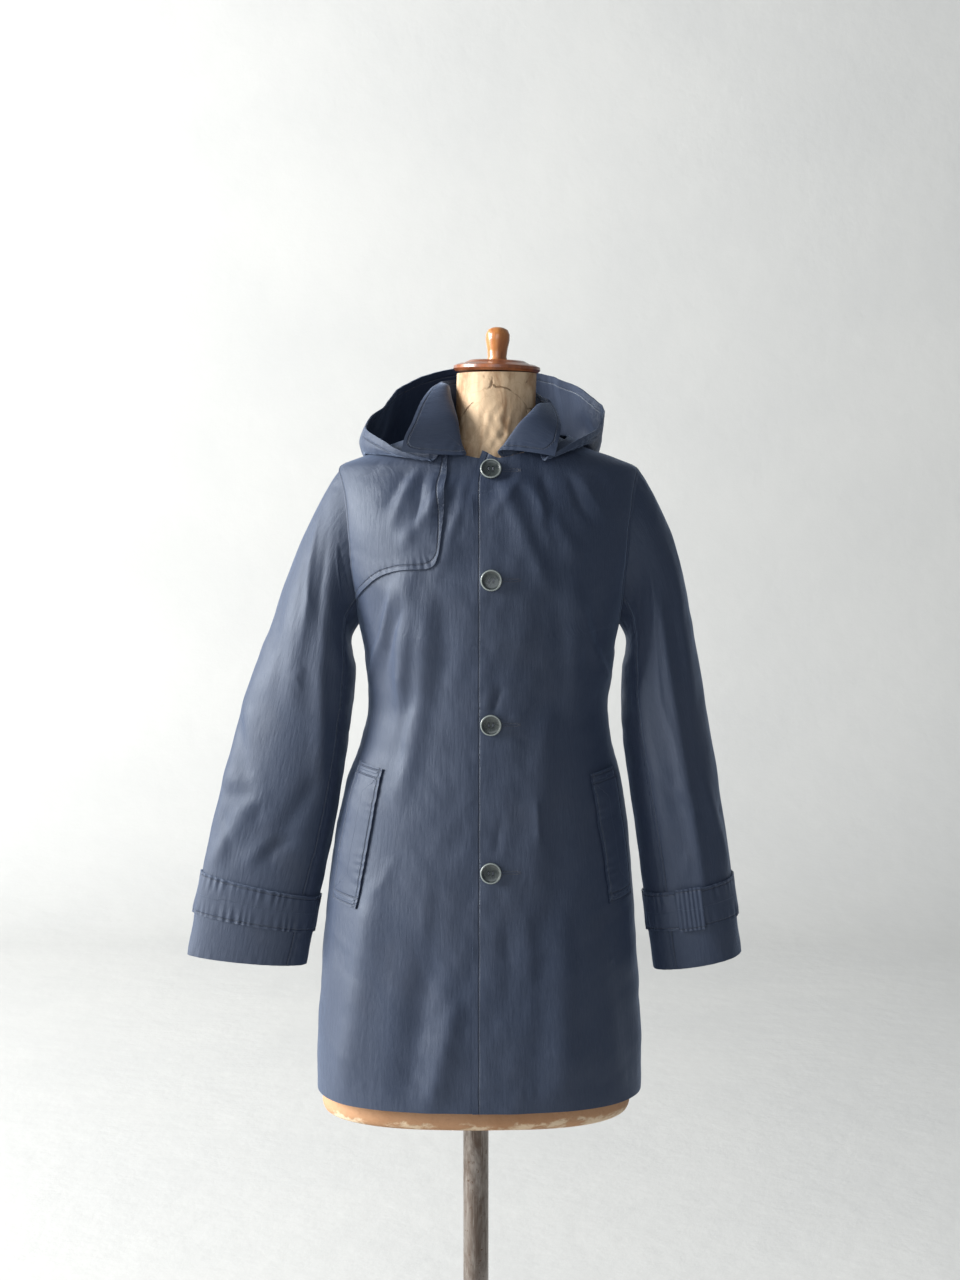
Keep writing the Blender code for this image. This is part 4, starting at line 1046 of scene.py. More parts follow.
# ---- what lies on the fronts ----
# The storm flap hangs from the right shoulder. Its lower edge runs from the armhole (0) to its
# inner edge (1), where it turns up round a corner.
STORM_FLAP_EDGE = Table(
    "across height",
    (0.0, 1281),
    (0.2, 1297),
    (0.42, 1313),
    (0.62, 1318),
    (0.84, 1319.5),
    (0.93, 1323),
    (0.98, 1331),
    (1.0, 1343),
)
FLAP_STITCH_INSET = 5.5
FLAP_ARMHOLE_STITCH_INSET = 2.5
STORM_FLAP_INSET = 3.0  # from the armhole, so that the flap clears the sleeve
FLAP_ROWS, FLAP_COLUMNS = 80, 84


def flap_seams(outer):
    """Stitches down the inner edge and along the lower edge, and at the armhole."""
    down = beside_edge(outer, "start", FLAP_STITCH_INSET, first=5)[::-1]
    along = beside_edge(outer, "low", FLAP_STITCH_INSET, first=6)
    round_corner = rounded(np.concatenate([down, along]), 7)
    return [
        seam(round_corner, gather=0.45, pitch=9, reach=8, groove=0.3),
        edge_seam(outer, "end", FLAP_ARMHOLE_STITCH_INSET, gather=0.2, pitch=12, groove=0.3),
    ]


def make_storm_flap(cloth):
    across = np.linspace(0, 1, FLAP_COLUMNS)[None, :]
    share = np.linspace(0, 1, FLAP_ROWS)[:, None]
    lowest = STORM_FLAP_EDGE("height", 1 - across)
    line_top = angle_at_x(storm_flap_line_x(FRONT_NECK_HEIGHT), FRONT_NECK_HEIGHT)
    highest = neck_height(line_top - (90 + line_top) * across)
    height = lowest + (highest - lowest) * share
    line = angle_at_x(storm_flap_line_x(height), height)
    armhole = seam_shift(height) - front_edge_angle(height)
    armhole = armhole + np.degrees(STORM_FLAP_INSET / BODY("half_width", height))
    angle = line + (armhole - line) * across
    add_wall("storm_flap", body_surface, angle, height, LAYER, cloth, flap_seams)


# side is 1 for the left pocket; the angles are those of its front and rear edges.
POCKET_WELTS = {
    "right": {"side": -1, "top": 1084, "bottom": 921, "front": (57, 58), "rear": (73, 73)},
    "left": {"side": 1, "top": 1078, "bottom": 925, "front": (58, 62), "rear": (74, 76)},
}
WELT_THICKNESS = 1.8
WELT_REAR_RISE = 5.0
WELT_ROWS, WELT_COLUMNS = 84, 18
WELT_END_INSETS = (3, 12)  # each end has two rows of stitches


def welt_seams(outer):
    ends = [(edge, inset) for edge in ("low", "high") for inset in WELT_END_INSETS]
    return [edge_seam(outer, *end, pitch=7) for end in ends] + [
        edge_seam(outer, "start", 3.5, gather=0.5, pitch=12, reach=10),
        edge_seam(outer, "end", 2.5, gather=0.3, pitch=13, reach=8),
    ]


def make_pocket_welts(cloth):
    """The two slanted welts, each as a strip that lies on its front."""
    across = np.linspace(0, 1, WELT_COLUMNS)[None, :]
    down = np.linspace(0, 1, WELT_ROWS)[:, None]
    out = LAYER_GAP + WELT_THICKNESS
    for name, welt in POCKET_WELTS.items():
        front, rear = (high + (low - high) * down for high, low in (welt["front"], welt["rear"]))
        angle = welt["side"] * (front + (rear - front) * across)
        height = welt["top"] + (welt["bottom"] - welt["top"]) * down + WELT_REAR_RISE * across
        piece = f"pocket_welt_{name}"
        add_wall(piece, body_surface, angle, height, out, cloth, welt_seams, WELT_THICKNESS)


# ---- sleeves, as rings from the armhole down to the cuff ----
# outer and inner are the ring's far and near ends seen from the front; front and back are its half
# depths, skew moves its foremost point towards the body, and armhole is how much it keeps that
# shape.
SLEEVE_COLUMNS = "ring outer_x outer_z inner_x inner_z middle_y front back skew armhole"
RIGHT_SLEEVE = Table(
    SLEEVE_COLUMNS,
    (0, -165, 1436, -142, 1250, 0, 50, 50, 0.0, 1.0),
    (1, -181, 1414, -144.5, 1241, 0, 53, 54, 0.0, 0.75),
    (2, -197, 1383, -145, 1229, 0, 56, 57, 0.05, 0.4),
    (3, -214, 1343, -144.5, 1213, 0, 59, 59, 0.1, 0.15),
    (4, -229, 1300, -144.5, 1193, 0, 60, 60, 0.15, 0.0),
    (5, -246, 1252, -146.5, 1168, 0, 58, 59, 0.2, 0.0),
    (6, -263, 1207, -150, 1140, -1, 54, 57, 0.25, 0.0),
    (7, -281, 1155, -154.5, 1105, -3, 50, 53, 0.28, 0.0),
    (8, -296, 1096, -161, 1062, -6, 45, 48, 0.28, 0.0),
    (9, -312, 1035, -171.5, 1000, -9, 40, 43, 0.25, 0.0),
    (10, -325.5, 976, -184, 944, -12, 35, 37, 0.2, 0.0),
    (11, -338, 914, -195, 889, -14, 31, 32, 0.15, 0.0),
    (12, -349, 850, -205, 838, -16, 27, 28, 0.1, 0.0),
)
LEFT_SLEEVE = Table(
    SLEEVE_COLUMNS,
    (0, 197, 1436, 174, 1250, 0, 50, 50, 0.0, 1.0),
    (1, 211.5, 1415, 176, 1241, 0, 54, 54, 0.0, 0.75),
    (2, 225, 1387, 177, 1229, -1, 57, 57, 0.0, 0.4),
    (3, 237, 1354, 177, 1213, -2, 60, 60, -0.02, 0.15),
    (4, 246, 1318, 176, 1194, -3, 61, 62, -0.05, 0.0),
    (5, 254, 1278, 175, 1170, -5, 62, 62, -0.08, 0.0),
    (6, 262, 1234, 175, 1143, -8, 61, 60, -0.1, 0.0),
    (7, 272, 1178, 177, 1112, -11, 59, 58, -0.12, 0.0),
    (8, 283, 1110, 182, 1072, -15, 57, 54, -0.15, 0.0),
    (9, 295, 1036, 191, 1010, -19, 54, 50, -0.18, 0.0),
    (10, 304, 976, 199, 952, -22, 50, 46, -0.2, 0.0),
    (11, 312, 916, 206, 895, -25, 46, 42, -0.2, 0.0),
    (12, 319, 858, 214, 836, -27, 42, 38, -0.2, 0.0),
)
LAST_RING = 12
# (start_angle, start_ring, end_angle, end_ring, height, half_width)
RIGHT_SLEEVE_FOLDS = (
    (40, 3.0, 70, 6.5, 3.5, 11),
    (85, 3.5, 112, 8.0, 3.5, 10),
    (60, 8.5, 30, 10.2, 3.0, 10),
    (110, 8.0, 80, 9.6, -3.0, 10),
    (-60, 3.0, -40, 7.0, 3.0, 12),
    (-100, 5.0, -80, 10.0, 3.0, 12),
    (10, 7.2, 50, 8.6, -2.5, 10),
)
LEFT_SLEEVE_FOLDS = (
    (86, 2.5, 88, 11.0, 4.0, 9),
    (40, 3.0, 60, 7.5, 3.0, 11),
    (130, 5.0, 120, 9.5, 3.0, 11),
    (60, 8.5, 35, 10.2, 2.5, 10),
    (-60, 3.0, -40, 7.0, 3.0, 12),
    (-100, 5.0, -80, 10.0, 3.0, 12),
)
# (lift, half_width, (angle, ring), (angle, ring), ...)
RIGHT_SLEEVE_CREASES = (
    (3.5, 7, (23, 1.5), (45, 2.5), (63, 3.6), (67, 4.9), (69, 5.6)),
    (-3.0, 9, (56, 1.2), (71, 2.4), (83, 3.8), (96, 5.6)),
    (1.8, 8, (30, 3.3), (41, 4.6), (44, 6.0), (44, 7.0)),
    (-1.5, 8, (13, 4.2), (-5, 5.5), (-15, 6.7)),
    (-2.0, 8, (16, 8.8), (48, 8.7), (67, 8.5)),
    (1.5, 9, (1, 8.6), (43, 8.4), (66, 8.2)),
    (-1.6, 6, (64, 8.7), (60, 9.2)),
    (2.2, 7, (62, 10.2), (70, 9.7), (81, 9.3), (105, 9.0)),
    (-2.2, 7, (79, 10.0), (83, 9.6), (96, 9.3), (111, 9.2)),
    (-1.2, 5, (20, 9.0), (45, 9.6), (51, 10.2)),
    (1.5, 4, (74, 5.2), (70, 5.7), (77, 6.1)),
    (-2.5, 6, (72, 1.2), (101, 0.6), (128, 0.4)),
    (1.6, 6, (66, 0.5), (85, 1.3), (123, 1.5)),
    (2.4, 8, (-30, 1.4), (-52, 3.0), (-66, 4.8)),
    (-2.0, 8, (-60, 2.0), (-78, 3.8), (-84, 5.8)),
    (2.0, 8, (-40, 8.2), (-66, 8.9), (-92, 9.2)),
    (-1.8, 7, (-30, 8.9), (-62, 9.5), (-96, 9.8)),
)
LEFT_SLEEVE_CREASES = (
    (2.5, 4, (50, 0.9), (78, 1.7), (98, 4.2), (102, 6.5), (94, 7.7), (97, 9.6)),
    (-1.5, 8, (81, 0.6), (114, 2.5), (119, 5.8)),
    (1.5, 9, (6, 1.9), (30, 4.5), (44, 7.3)),
    (1.5, 7, (120, 7.8), (107, 8.4), (74, 8.7)),
    (-1.6, 7, (117, 8.2), (105, 8.7), (69, 9.0)),
    (1.2, 5, (100, 9.6), (107, 10.2)),
    (-1.4, 8, (70, 4.0), (61, 6.8), (53, 8.2)),
    (-2.0, 7, (40, 8.9), (20, 9.3), (4, 9.2)),
    (2.2, 8, (-34, 1.6), (-50, 3.2), (-70, 5.0)),
    (-2.0, 7, (-64, 1.8), (-82, 3.6), (-90, 5.4)),
    (2.2, 8, (-30, 8.0), (-60, 8.6), (-94, 9.0)),
    (-1.8, 7, (-36, 9.0), (-70, 9.4), (-100, 9.9)),
)
SLEEVE_MM_PER_DEGREE = 1.0
SLEEVE_MM_PER_RING = 55.0
SLEEVE_SWELL = 0.007  # share of a sleeve's width by which it swells unevenly
SLEEVE_RADIUS = 55.0  # about
SLEEVE_SEAM = 135.0  # angle of both seams of a sleeve, from its outer side
SLEEVES = {
    "right": (-1, RIGHT_SLEEVE, RIGHT_SLEEVE_FOLDS, RIGHT_SLEEVE_CREASES),
    "left": (1, LEFT_SLEEVE, LEFT_SLEEVE_FOLDS, LEFT_SLEEVE_CREASES),
}
ARMHOLE_GAP = 0.15


def armhole_loop(angle, side, depth=0.0):
    """Points of the armhole's edge: 0 is its top, 90 the front, 180 the underarm.

    depth is how far the points lie under the body's outside.
    """
    height = ARMHOLE_MIDDLE + ARMHOLE_HALF_HEIGHT * cos(angle)
    front, back = (armhole_half_width(height, depth_column) for depth_column in ("front", "back"))
    across = side * np.where(sin(angle) > 0, front, back)
    around = np.degrees(np.arctan2(across, ARMHOLE_HALF_DEPTH * sin(angle)))
    return moved_out(body_surface, around, height, -depth)


def sleeve_surface(which):
    """The outside of a sleeve, as a function of the angle round it and the ring along it."""
    side, table, folds, creases = SLEEVES[which]
    top, underarm = armhole_loop(0, side), armhole_loop(180, side)
    armhole_middle = (top + underarm) / 2
    first_x = (table("outer_x", 0) + table("inner_x", 0)) / 2
    off_armhole = armhole_middle - points(first_x, 0, ARMHOLE_MIDDLE)

    def surface(angle, ring):
        start = armhole_loop(angle, side) - armhole_middle
        angle, ring = np.broadcast_arrays(np.asarray(angle, float), np.asarray(ring, float))
        outer = points(table("outer_x", ring), table("middle_y", ring), table("outer_z", ring))
        inner = points(table("inner_x", ring), table("middle_y", ring), table("inner_z", ring))
        middle, half = (outer + inner) / 2, (outer - inner) / 2
        depth = np.where(sin(angle) > 0, table("front", ring), table("back", ring))
        lift = fold_heights(folds, angle, ring, SLEEVE_MM_PER_DEGREE, SLEEVE_MM_PER_RING)
        lift = lift + crease_heights(creases, angle, ring, SLEEVE_MM_PER_DEGREE, SLEEVE_MM_PER_RING)
        along = cos(angle) - table("skew", ring) * sin(angle) ** 2
        swell = 1 + (lift / SLEEVE_RADIUS)[..., None]
        rim = half * along[..., None] * swell
        uneven = ripples(SLEEVE_MM_PER_RING * ring + 45 * cos(angle), 75 * sin(angle), 8, 50)
        rim *= (1 + SLEEVE_SWELL * uneven)[..., None]
        rim[..., 1] -= (depth + lift) * sin(angle)
        keep = table("armhole", ring)[..., None]
        gap = points(side * ARMHOLE_GAP, 0, 0)
        return middle + gap + keep * (off_armhole + start) + (1 - keep) * rim

    return surface


def sleeve_wall(name, which, angle, ring, out, thickness, finish, seams_of, closed=False):
    """A piece of a sleeve. out is the height of its outside above the sleeve's, and seams_of gives
    the seams on its outer grid."""
    surface = sleeve_surface(which)
    side = SLEEVES[which][0]
    outer = moved_out(surface, angle, ring, side * np.asarray(out))
    inner = moved_out(surface, angle, ring, side * (np.asarray(out) - thickness))
    if ring[0, 0] == 0:
        # The first ring's wall is cut like the armhole's edge, so that the two lie side by side.
        edge = armhole_loop(angle[:1], side, CLOTH)[..., 0]
        inner[:1, :, 0] = side * np.maximum(side * inner[:1, :, 0], side * edge + ARMHOLE_GAP)
    add_cloth(name, outer, inner, finish, closed, seams_of(outer))


def sleeve_seams(outer):
    """Armhole seam with the sleeve head's small gathers, both long seams, and the hem."""
    return [
        edge_seam(outer, "low", 8, gather=0.5, pitch=13, reach=5, groove=0, sewn=False),
        edge_seam(outer, "start", 0, gather=0.4, pitch=14, groove=0.6, sewn=False),
        edge_seam(outer, "end", 0, gather=0.4, pitch=14, groove=0.6, sewn=False),
        edge_seam(outer, "high", 1.5, gather=0.3, pitch=13, groove=0.1, sewn=False),
    ]


def top_sleeve_seams(outer):
    rows = [edge_seam(outer, edge, 4.5, gather=0.3, pitch=14) for edge in ("start", "end")]
    return sleeve_seams(outer) + rows


def strap_seams(outer):
    """Both edges of a strap round the cuff, sewn down and strongly gathered."""
    loop = np.concatenate([outer, outer[:, :1]], 1)
    edges = ("low", "high")
    return [edge_seam(loop, edge, 3.5, gather=0.75, pitch=9.5, reach=12) for edge in edges]


def keeper_seams(outer):
    return [edge_seam(outer, edge, 3, gather=0.2, pitch=8) for edge in ("low", "high")]


SLEEVE_SEAM_SHIFT = 0.08  # half of the gap along a sleeve's seam, as an angle
STRAP_RINGS = (10.4, 11.2)  # the cuff strap's upper and lower edges
STRAP_THICKNESS = 1.4
KEEPER_ANGLES = (89.9, 119.8)
KEEPER_RINGS = (10.37, 11.23)
KEEPER_GAP = 0.6
KEEPER_RIBS, KEEPER_RIB = 6, 0.45  # how many ribs run along the keeper, and their height
SLEEVE_ROWS, TOP_SLEEVE_COLUMNS, UNDER_SLEEVE_COLUMNS = 196, 96, 32
STRAP_ROWS, STRAP_COLUMNS = 21, 240
KEEPER_ROWS, KEEPER_COLUMNS = 26, 40


def make_sleeves(cloth):
    """Both sleeves, each of two pieces with a strap round the cuff, and the left one's keeper."""
    ring = np.linspace(0, LAST_RING, SLEEVE_ROWS)[:, None]
    low, high = SLEEVE_SEAM - SLEEVE_SEAM_SHIFT, SLEEVE_SEAM + SLEEVE_SEAM_SHIFT
    top = between(-low, low, TOP_SLEEVE_COLUMNS)
    under = between(high, 360 - high, UNDER_SLEEVE_COLUMNS)
    around = np.linspace(190, 550, STRAP_COLUMNS + 1)[None, :-1]  # its ends meet behind the cuff
    strap = np.linspace(*STRAP_RINGS, STRAP_ROWS)[:, None]
    out = LAYER_GAP + STRAP_THICKNESS
    for which in SLEEVES:
        sleeve_wall(f"top_sleeve_{which}", which, top, ring, 0, CLOTH, cloth, top_sleeve_seams)
        sleeve_wall(f"under_sleeve_{which}", which, under, ring, 0, CLOTH, cloth, sleeve_seams)
        name = f"cuff_strap_{which}"
        sleeve_wall(name, which, around, strap, out, STRAP_THICKNESS, cloth, strap_seams, True)

    keeper = np.linspace(*KEEPER_RINGS, KEEPER_ROWS)[:, None]
    angle = between(*KEEPER_ANGLES, KEEPER_COLUMNS)
    share = np.linspace(0, 1, KEEPER_COLUMNS)
    ribs = KEEPER_RIB * np.sin(2 * math.pi * KEEPER_RIBS * share)[None, :]
    out = out + KEEPER_GAP + CLOTH + ribs
    sleeve_wall("cuff_keeper", "left", angle, keeper, out, CLOTH, cloth, keeper_seams)


# ---- collar: stands up behind the neck and falls open at the front ----
# place runs from the right end round the back to the left end. base is the angle on the neckline;
# the roll and the edge are points round the neck's axis.
COLLAR = Table(
    "place base roll_angle roll_radius roll_height edge_angle edge_radius edge_height",
    (0, -26, -31, 86, 1450, -54, 132, 1454),
    (1, -34, -35, 78, 1466, -55, 127, 1469),
    (2, -49, -40, 69, 1491, -57, 114, 1487),
    (3, -65, -58, 58, 1513, -64, 96, 1510),
    (4, -84, -84, 53, 1528, -79, 76, 1528),
    (5, -104, -105, 60, 1523, -102, 66, 1537),
    (6, -130, -130, 66, 1516, -130, 67, 1543),
    (7, -155, -155, 69, 1517, -155, 72, 1548),
    (8, -180, -180, 70, 1518, -180, 75, 1550),
    (9, -205, -205, 68, 1515, -205, 71, 1544),
    (10, -230, -230, 66, 1509, -229, 64, 1531),
    (11, -256, -255, 66, 1503, -253, 61.5, 1522),
    (12, -277, -277, 65, 1501, -275, 66, 1517),
    (13, -302, -301, 62, 1508, -290, 79, 1501),
    (14, -329, -328, 70, 1493, -310, 100, 1475),
    (15, -349, -349, 75, 1456, -319, 107, 1449),
)
NECK_AXIS_X = 21.0
COLLAR_STITCH_INSET = 5.0
COLLAR_GAP = 0.8  # from the neckline up to the collar's seam
COLLAR_LAST = 15
COLLAR_ROWS, COLLAR_COLUMNS = 36, 230


def around_neck(angle, radius, height):
    return points(NECK_AXIS_X + radius * sin(angle), -radius * cos(angle), height)


def bent(start, handle, end, share):
    """A point on the curve from start to end that leaves towards the handle."""
    share = share[..., None]
    return start * (1 - share) ** 2 + 2 * handle * share * (1 - share) + end * share**2


def collar_surface(place, share):
    """Points of the collar, from its seam on the neckline (share 0) to its free edge (share 1)."""
    base_angle = COLLAR("base", place)
    base = body_surface(base_angle, neck_height(base_angle) + COLLAR_GAP)
    roll, edge = (
        around_neck(*(COLLAR(f"{name}_{part}", place) for part in ("angle", "radius", "height")))
        for name in ("roll", "edge")
    )
    handle = 2 * roll - (base + edge) / 2  # so that the curve passes through the roll
    return bent(base, handle, edge, np.asarray(share, float))


def collar_seams(outer):
    """Stitches round the free edge, and the seam on the neckline."""
    inset = COLLAR_STITCH_INSET
    right_end = beside_edge(outer, "start", inset, first=4, last=-3)
    free = beside_edge(outer, "high", inset, first=8, last=-8)
    left_end = beside_edge(outer, "end", inset, first=4, last=-3)[::-1]
    edge = np.concatenate([right_end, free, left_end])
    return [
        seam(edge, gather=0.3, pitch=10, reach=6, groove=0.35),
        edge_seam(outer, "low", 0, gather=0.3, pitch=12, groove=0.5, sewn=False),
    ]


def make_collar(cloth):
    place = np.linspace(0, COLLAR_LAST, COLLAR_COLUMNS)[None, :]
    share = np.linspace(0, 1, COLLAR_ROWS)[:, None]
    # The surface's normal points to the neck, and the wall lies on that side of it.
    settings = {"thickness": -CLOTH, "both_sides": True}
    add_wall("collar", collar_surface, place, share, 0, cloth, collar_seams, **settings)


# ---- hood: lies open behind the neck, its rim standing up in a ring ----
# At each angle round the neck it lies on the coat down to the height "contact". From there it turns
# round a low point to a side point and rises to its rim, each so far out and up from the contact.
# turn is the angle counted the other way, from the hood's right end to its left end.
HOOD = Table(
    "turn contact low_out low_up side_out side_up rim_out rim_up",
    (43, 1444, 3, -3, 7, -3, 12, -1),
    (52, 1445, 3, -2, 7, -2, 12, 3),
    (60, 1446, 4, -2, 9, 0, 12, 9),
    (66, 1447, 4, -2, 9, 3, 10, 16),
    (75, 1448, 4, -2, 7, 7, 5, 24),
    (90, 1449, 4, -1, 6, 12, -1, 36),
    (110, 1440, 5, -4, 11, 18, -9, 63),
    (130, 1400, 14, -16, 35, 28, 14, 134),
    (155, 1352, 28, -32, 62, 36, 30, 207),
    (180, 1336, 29, -37, 67, 37, 33, 233),
    (205, 1352, 28, -32, 62, 36, 29, 205),
    (230, 1408, 13, -15, 31, 28, 20, 126),
    (250, 1450, 5, -1, 10, 15, 15, 52),
    (267, 1460, 5, 0, 12, 8, 19, 30),
    (283, 1459, 4, 0, 9, 6, 12, 17),
    (300, 1453, 4, -1, 8, 3, 10, 12),
    (310, 1448, 3, -2, 7, 0, 10, 7),
    (318, 1444, 3, -3, 6, -2, 10, 2),
)
HOOD_LIFT = 5.0  # height of the hood's underside above the coat, which clears the storm flap
HOOD_NECK_DROP = 6.0
HOOD_STITCH_INSET = 9.0
HOOD_SEAM_SHIFT = 0.05  # half of the gap along the hood's seam, as an angle
HOOD_FOLLOWS = 0.4  # share of the way from neck to rim that lies on the coat
HOOD_BOTTOM = 0.7  # share at which it has turned round to its side point
HOOD_RISE = 0.55  # how far it goes on upwards from the side point, as a share of low to side
HOOD_RIGHT_END, HOOD_MIDDLE, HOOD_LEFT_END = -43, -180, -318  # angles
HOOD_ROWS, HOOD_COLUMNS = 90, 120
HOOD_REACH = 0.01
# (start_angle, start_share, end_angle, end_share, height, half_width)
HOOD_FOLDS = (
    (-150, 0.55, -165, 0.9, 5.0, 16),
    (-205, 0.55, -190, 0.88, 5.0, 16),
    (-180, 0.6, -178, 0.8, -4.0, 13),
    (-120, 0.75, -135, 0.92, 4.0, 14),
    (-238, 0.75, -226, 0.92, 4.0, 14),
)
HOOD_MM_PER_DEGREE = 2.8
HOOD_MM_PER_SHARE = 420.0


def hood_surface(angle, share):
    """Points of the hood's underside, from the neck (share 0) to the rim (share 1)."""
    angle, share = np.broadcast_arrays(np.asarray(angle, float), np.asarray(share, float))
    turn = -angle
    contact = HOOD("contact", turn)
    neck = neck_height(angle) - HOOD_NECK_DROP
    down = np.clip(share / HOOD_FOLLOWS, 0, 1)
    lying = moved_out(body_surface, angle, neck + (contact - neck) * down, HOOD_LIFT)
    start = moved_out(body_surface, angle, contact, HOOD_LIFT)
    outwards = points(sin(angle), -cos(angle), 0)
    up = points(0, 0, 1)
    out, rise = (
        [HOOD(f"{name}_{way}", turn)[..., None] for name in ("low", "side", "rim")]
        for way in ("out", "up")
    )
    low, side, rim = (start + outwards * far + up * high for far, high in zip(out, rise))
    bottom = np.clip((share - HOOD_FOLLOWS) / (HOOD_BOTTOM - HOOD_FOLLOWS), 0, 1)
    above = np.clip((share - HOOD_BOTTOM) / (1 - HOOD_BOTTOM), 0, 1)
    turned = bent(start, low, side, bottom)
    risen = bent(side, side + (side - low) * HOOD_RISE, rim, above)
    made = np.where((share < HOOD_BOTTOM)[..., None], turned, risen)
    made = np.where((share < HOOD_FOLLOWS)[..., None], lying, made)
    lift = fold_heights(HOOD_FOLDS, angle, share, HOOD_MM_PER_DEGREE, HOOD_MM_PER_SHARE)
    return made + outwards * lift[..., None]


def hood_seams(outer, middle):
    """Stitches along the rim, and the seam with its stitches at the hood's middle edge."""
    return [
        edge_seam(outer, "high", HOOD_STITCH_INSET, gather=0.5, reach=9, groove=0.4),
        edge_seam(outer, middle, 0, gather=0.3, groove=0.7, sewn=False),
        edge_seam(outer, middle, 4, gather=0.2),
    ]


def make_hood(cloth):
    """The hood's two halves, which meet in a seam over its middle."""
    share = np.linspace(0, 1, HOOD_ROWS)[:, None]
    halves = {
        "hood_right": (HOOD_RIGHT_END, HOOD_MIDDLE + HOOD_SEAM_SHIFT, "end"),
        "hood_left": (HOOD_MIDDLE - HOOD_SEAM_SHIFT, HOOD_LEFT_END, "start"),
    }
    settings = {"reach": HOOD_REACH, "both_sides": True}
    for name, (start, end, middle) in halves.items():
        angle = between(start, end, HOOD_COLUMNS)
        seams_of = partial(hood_seams, middle=middle)
        add_wall(name, hood_surface, angle, share, 0, cloth, seams_of, **settings)


# ---- dress form ----
FORM = Table(
    "height half_width front back square",
    (661, 180, 106, 108, 2.6),
    (664, 185, 111, 113, 2.6),
    (672, 187.5, 114, 116, 2.6),
    (760, 186, 116, 118, 2.5),
    (900, 175, 108, 110, 2.4),
    (1000, 158, 98, 102, 2.3),
    (1110, 130, 88, 84, 2.2),
    (1160, 126, 90, 82, 2.2),
    (1240, 138, 100, 88, 2.2),
    (1290, 146, 102, 92, 2.2),
    (1340, 150, 98, 94, 2.2),
    (1390, 152, 84, 88, 2.2),
    (1420, 146, 68, 74, 2.2),
    (1440, 120, 60, 64, 2.1),
    (1455, 78, 55, 57, 2.0),
    (1472, 54, 51, 51, 2.0),
    (1495, 47.5, 48, 48, 2.0),
    (1548, 47.5, 47.5, 47.5, 2.0),
)


def form_axis_x(height):
    return FORM_LEAN * (height - FORM_BOTTOM)


# Profiles of the turned pieces, as (radius, height) pairs.
CAP_PROFILE = (
    (CAP_RADIUS - 3.5, 0),
    (CAP_RADIUS, 3.0),
    (CAP_RADIUS - 0.5, 6.5),
    (CAP_RADIUS - 6, 9),
    (CAP_RADIUS - 13, 10),
    (CAP_RADIUS - 15, CAP_HEIGHT - 2),
    (CAP_RADIUS - 19, CAP_HEIGHT),
)
KNOB_PROFILE = (
    (12.5, 0),
    (11.2, 4),
    (12.2, 14),
    (14.3, 24),
    (14.2, 31),
    (11.5, 36.5),
    (6.5, KNOB_HEIGHT - 0.6),
    (2.0, KNOB_HEIGHT),
)
STAND_GAP = 0.3  # at both ends of the pole
POLE_PROFILE = ((POLE_RADIUS, BASE_HEIGHT + STAND_GAP), (POLE_RADIUS, FORM_BOTTOM - STAND_GAP))
BASE_PROFILE = (
    (BASE_RADIUS - 2, 0),
    (BASE_RADIUS, 2),
    (BASE_RADIUS, 8),
    (BASE_RADIUS - 6, 11),
    (60, 14),
    (38, BASE_HEIGHT - 4),
    (30, BASE_HEIGHT),
)
CAP_SEAT = NECK_TOP + 1.8
KNOB_SEAT = NECK_TOP + 2.2 + CAP_HEIGHT
FORM_EDGE_HEIGHT = 672.0  # up to here the form's lower edge is rounded
CRUMPLE_STARTS, CRUMPLE_ENDS = (1425, 1455), (1490, 1515)  # heights of the crumpled paper
NECK_CRUMPLE, FORM_SWELL = 0.8, 0.35


def place_on_neck(piece, at, seat):
    """Move a turned piece onto the form's leaning axis at a height."""
    piece.location = (form_axis_x(at) * MM, 0, seat * MM)
    piece.rotation_euler = (0, math.atan(FORM_LEAN), 0)


def make_form(cover, cap_wood, knob_wood, steel, iron):
    edge = np.linspace(FORM_BOTTOM, FORM_EDGE_HEIGHT, 8)
    height = np.concatenate([edge, np.linspace(FORM_EDGE_HEIGHT + 3, NECK_TOP, 240)])[:, None]
    angle = np.linspace(0, 360, 145)[None, :-1]
    radius = section_radius(FORM, angle, height)
    crumpled = step(*CRUMPLE_STARTS, height) * (1 - step(*CRUMPLE_ENDS, height))
    around = 55 * sin(angle) + 200, 55 * cos(angle) + height
    radius = radius + NECK_CRUMPLE * crumpled * ripples(*around, 3, 11)
    radius = radius + FORM_SWELL * ripples(*around, 4, 34)
    rings = points(form_axis_x(height) + radius * sin(angle), -radius * cos(angle), height)
    add_loft("form_cover", rings, cover, ["form"])

    cap = add_turned("cap_turned", CAP_PROFILE, 96, cap_wood, ["neck_cap"])
    place_on_neck(cap, NECK_TOP, CAP_SEAT)
    knob = add_turned("knob_turned", KNOB_PROFILE, 64, knob_wood, ["knob"])
    place_on_neck(knob, KNOB_SEAT, KNOB_SEAT)
    add_turned("pole_tube", POLE_PROFILE, 72, steel, ["pole"])
    add_turned("base_disc", BASE_PROFILE, 128, iron, ["base"])


HOLE_RADIUS = 1.15
HOLE_SPREAD = 2.5  # half the distance between the holes
DRILL_DEPTH = 6.0
BUTTON_GAP = 1.2  # from the cloth
THREAD_SPREAD = 0.35  # half the distance between the two threads that share a hole
THREAD_PAST_HOLE = 0.3
DISH = BUTTON_THICKNESS - 1.3  # height of the sunk middle
THREAD_HEIGHT = DISH - 0.25


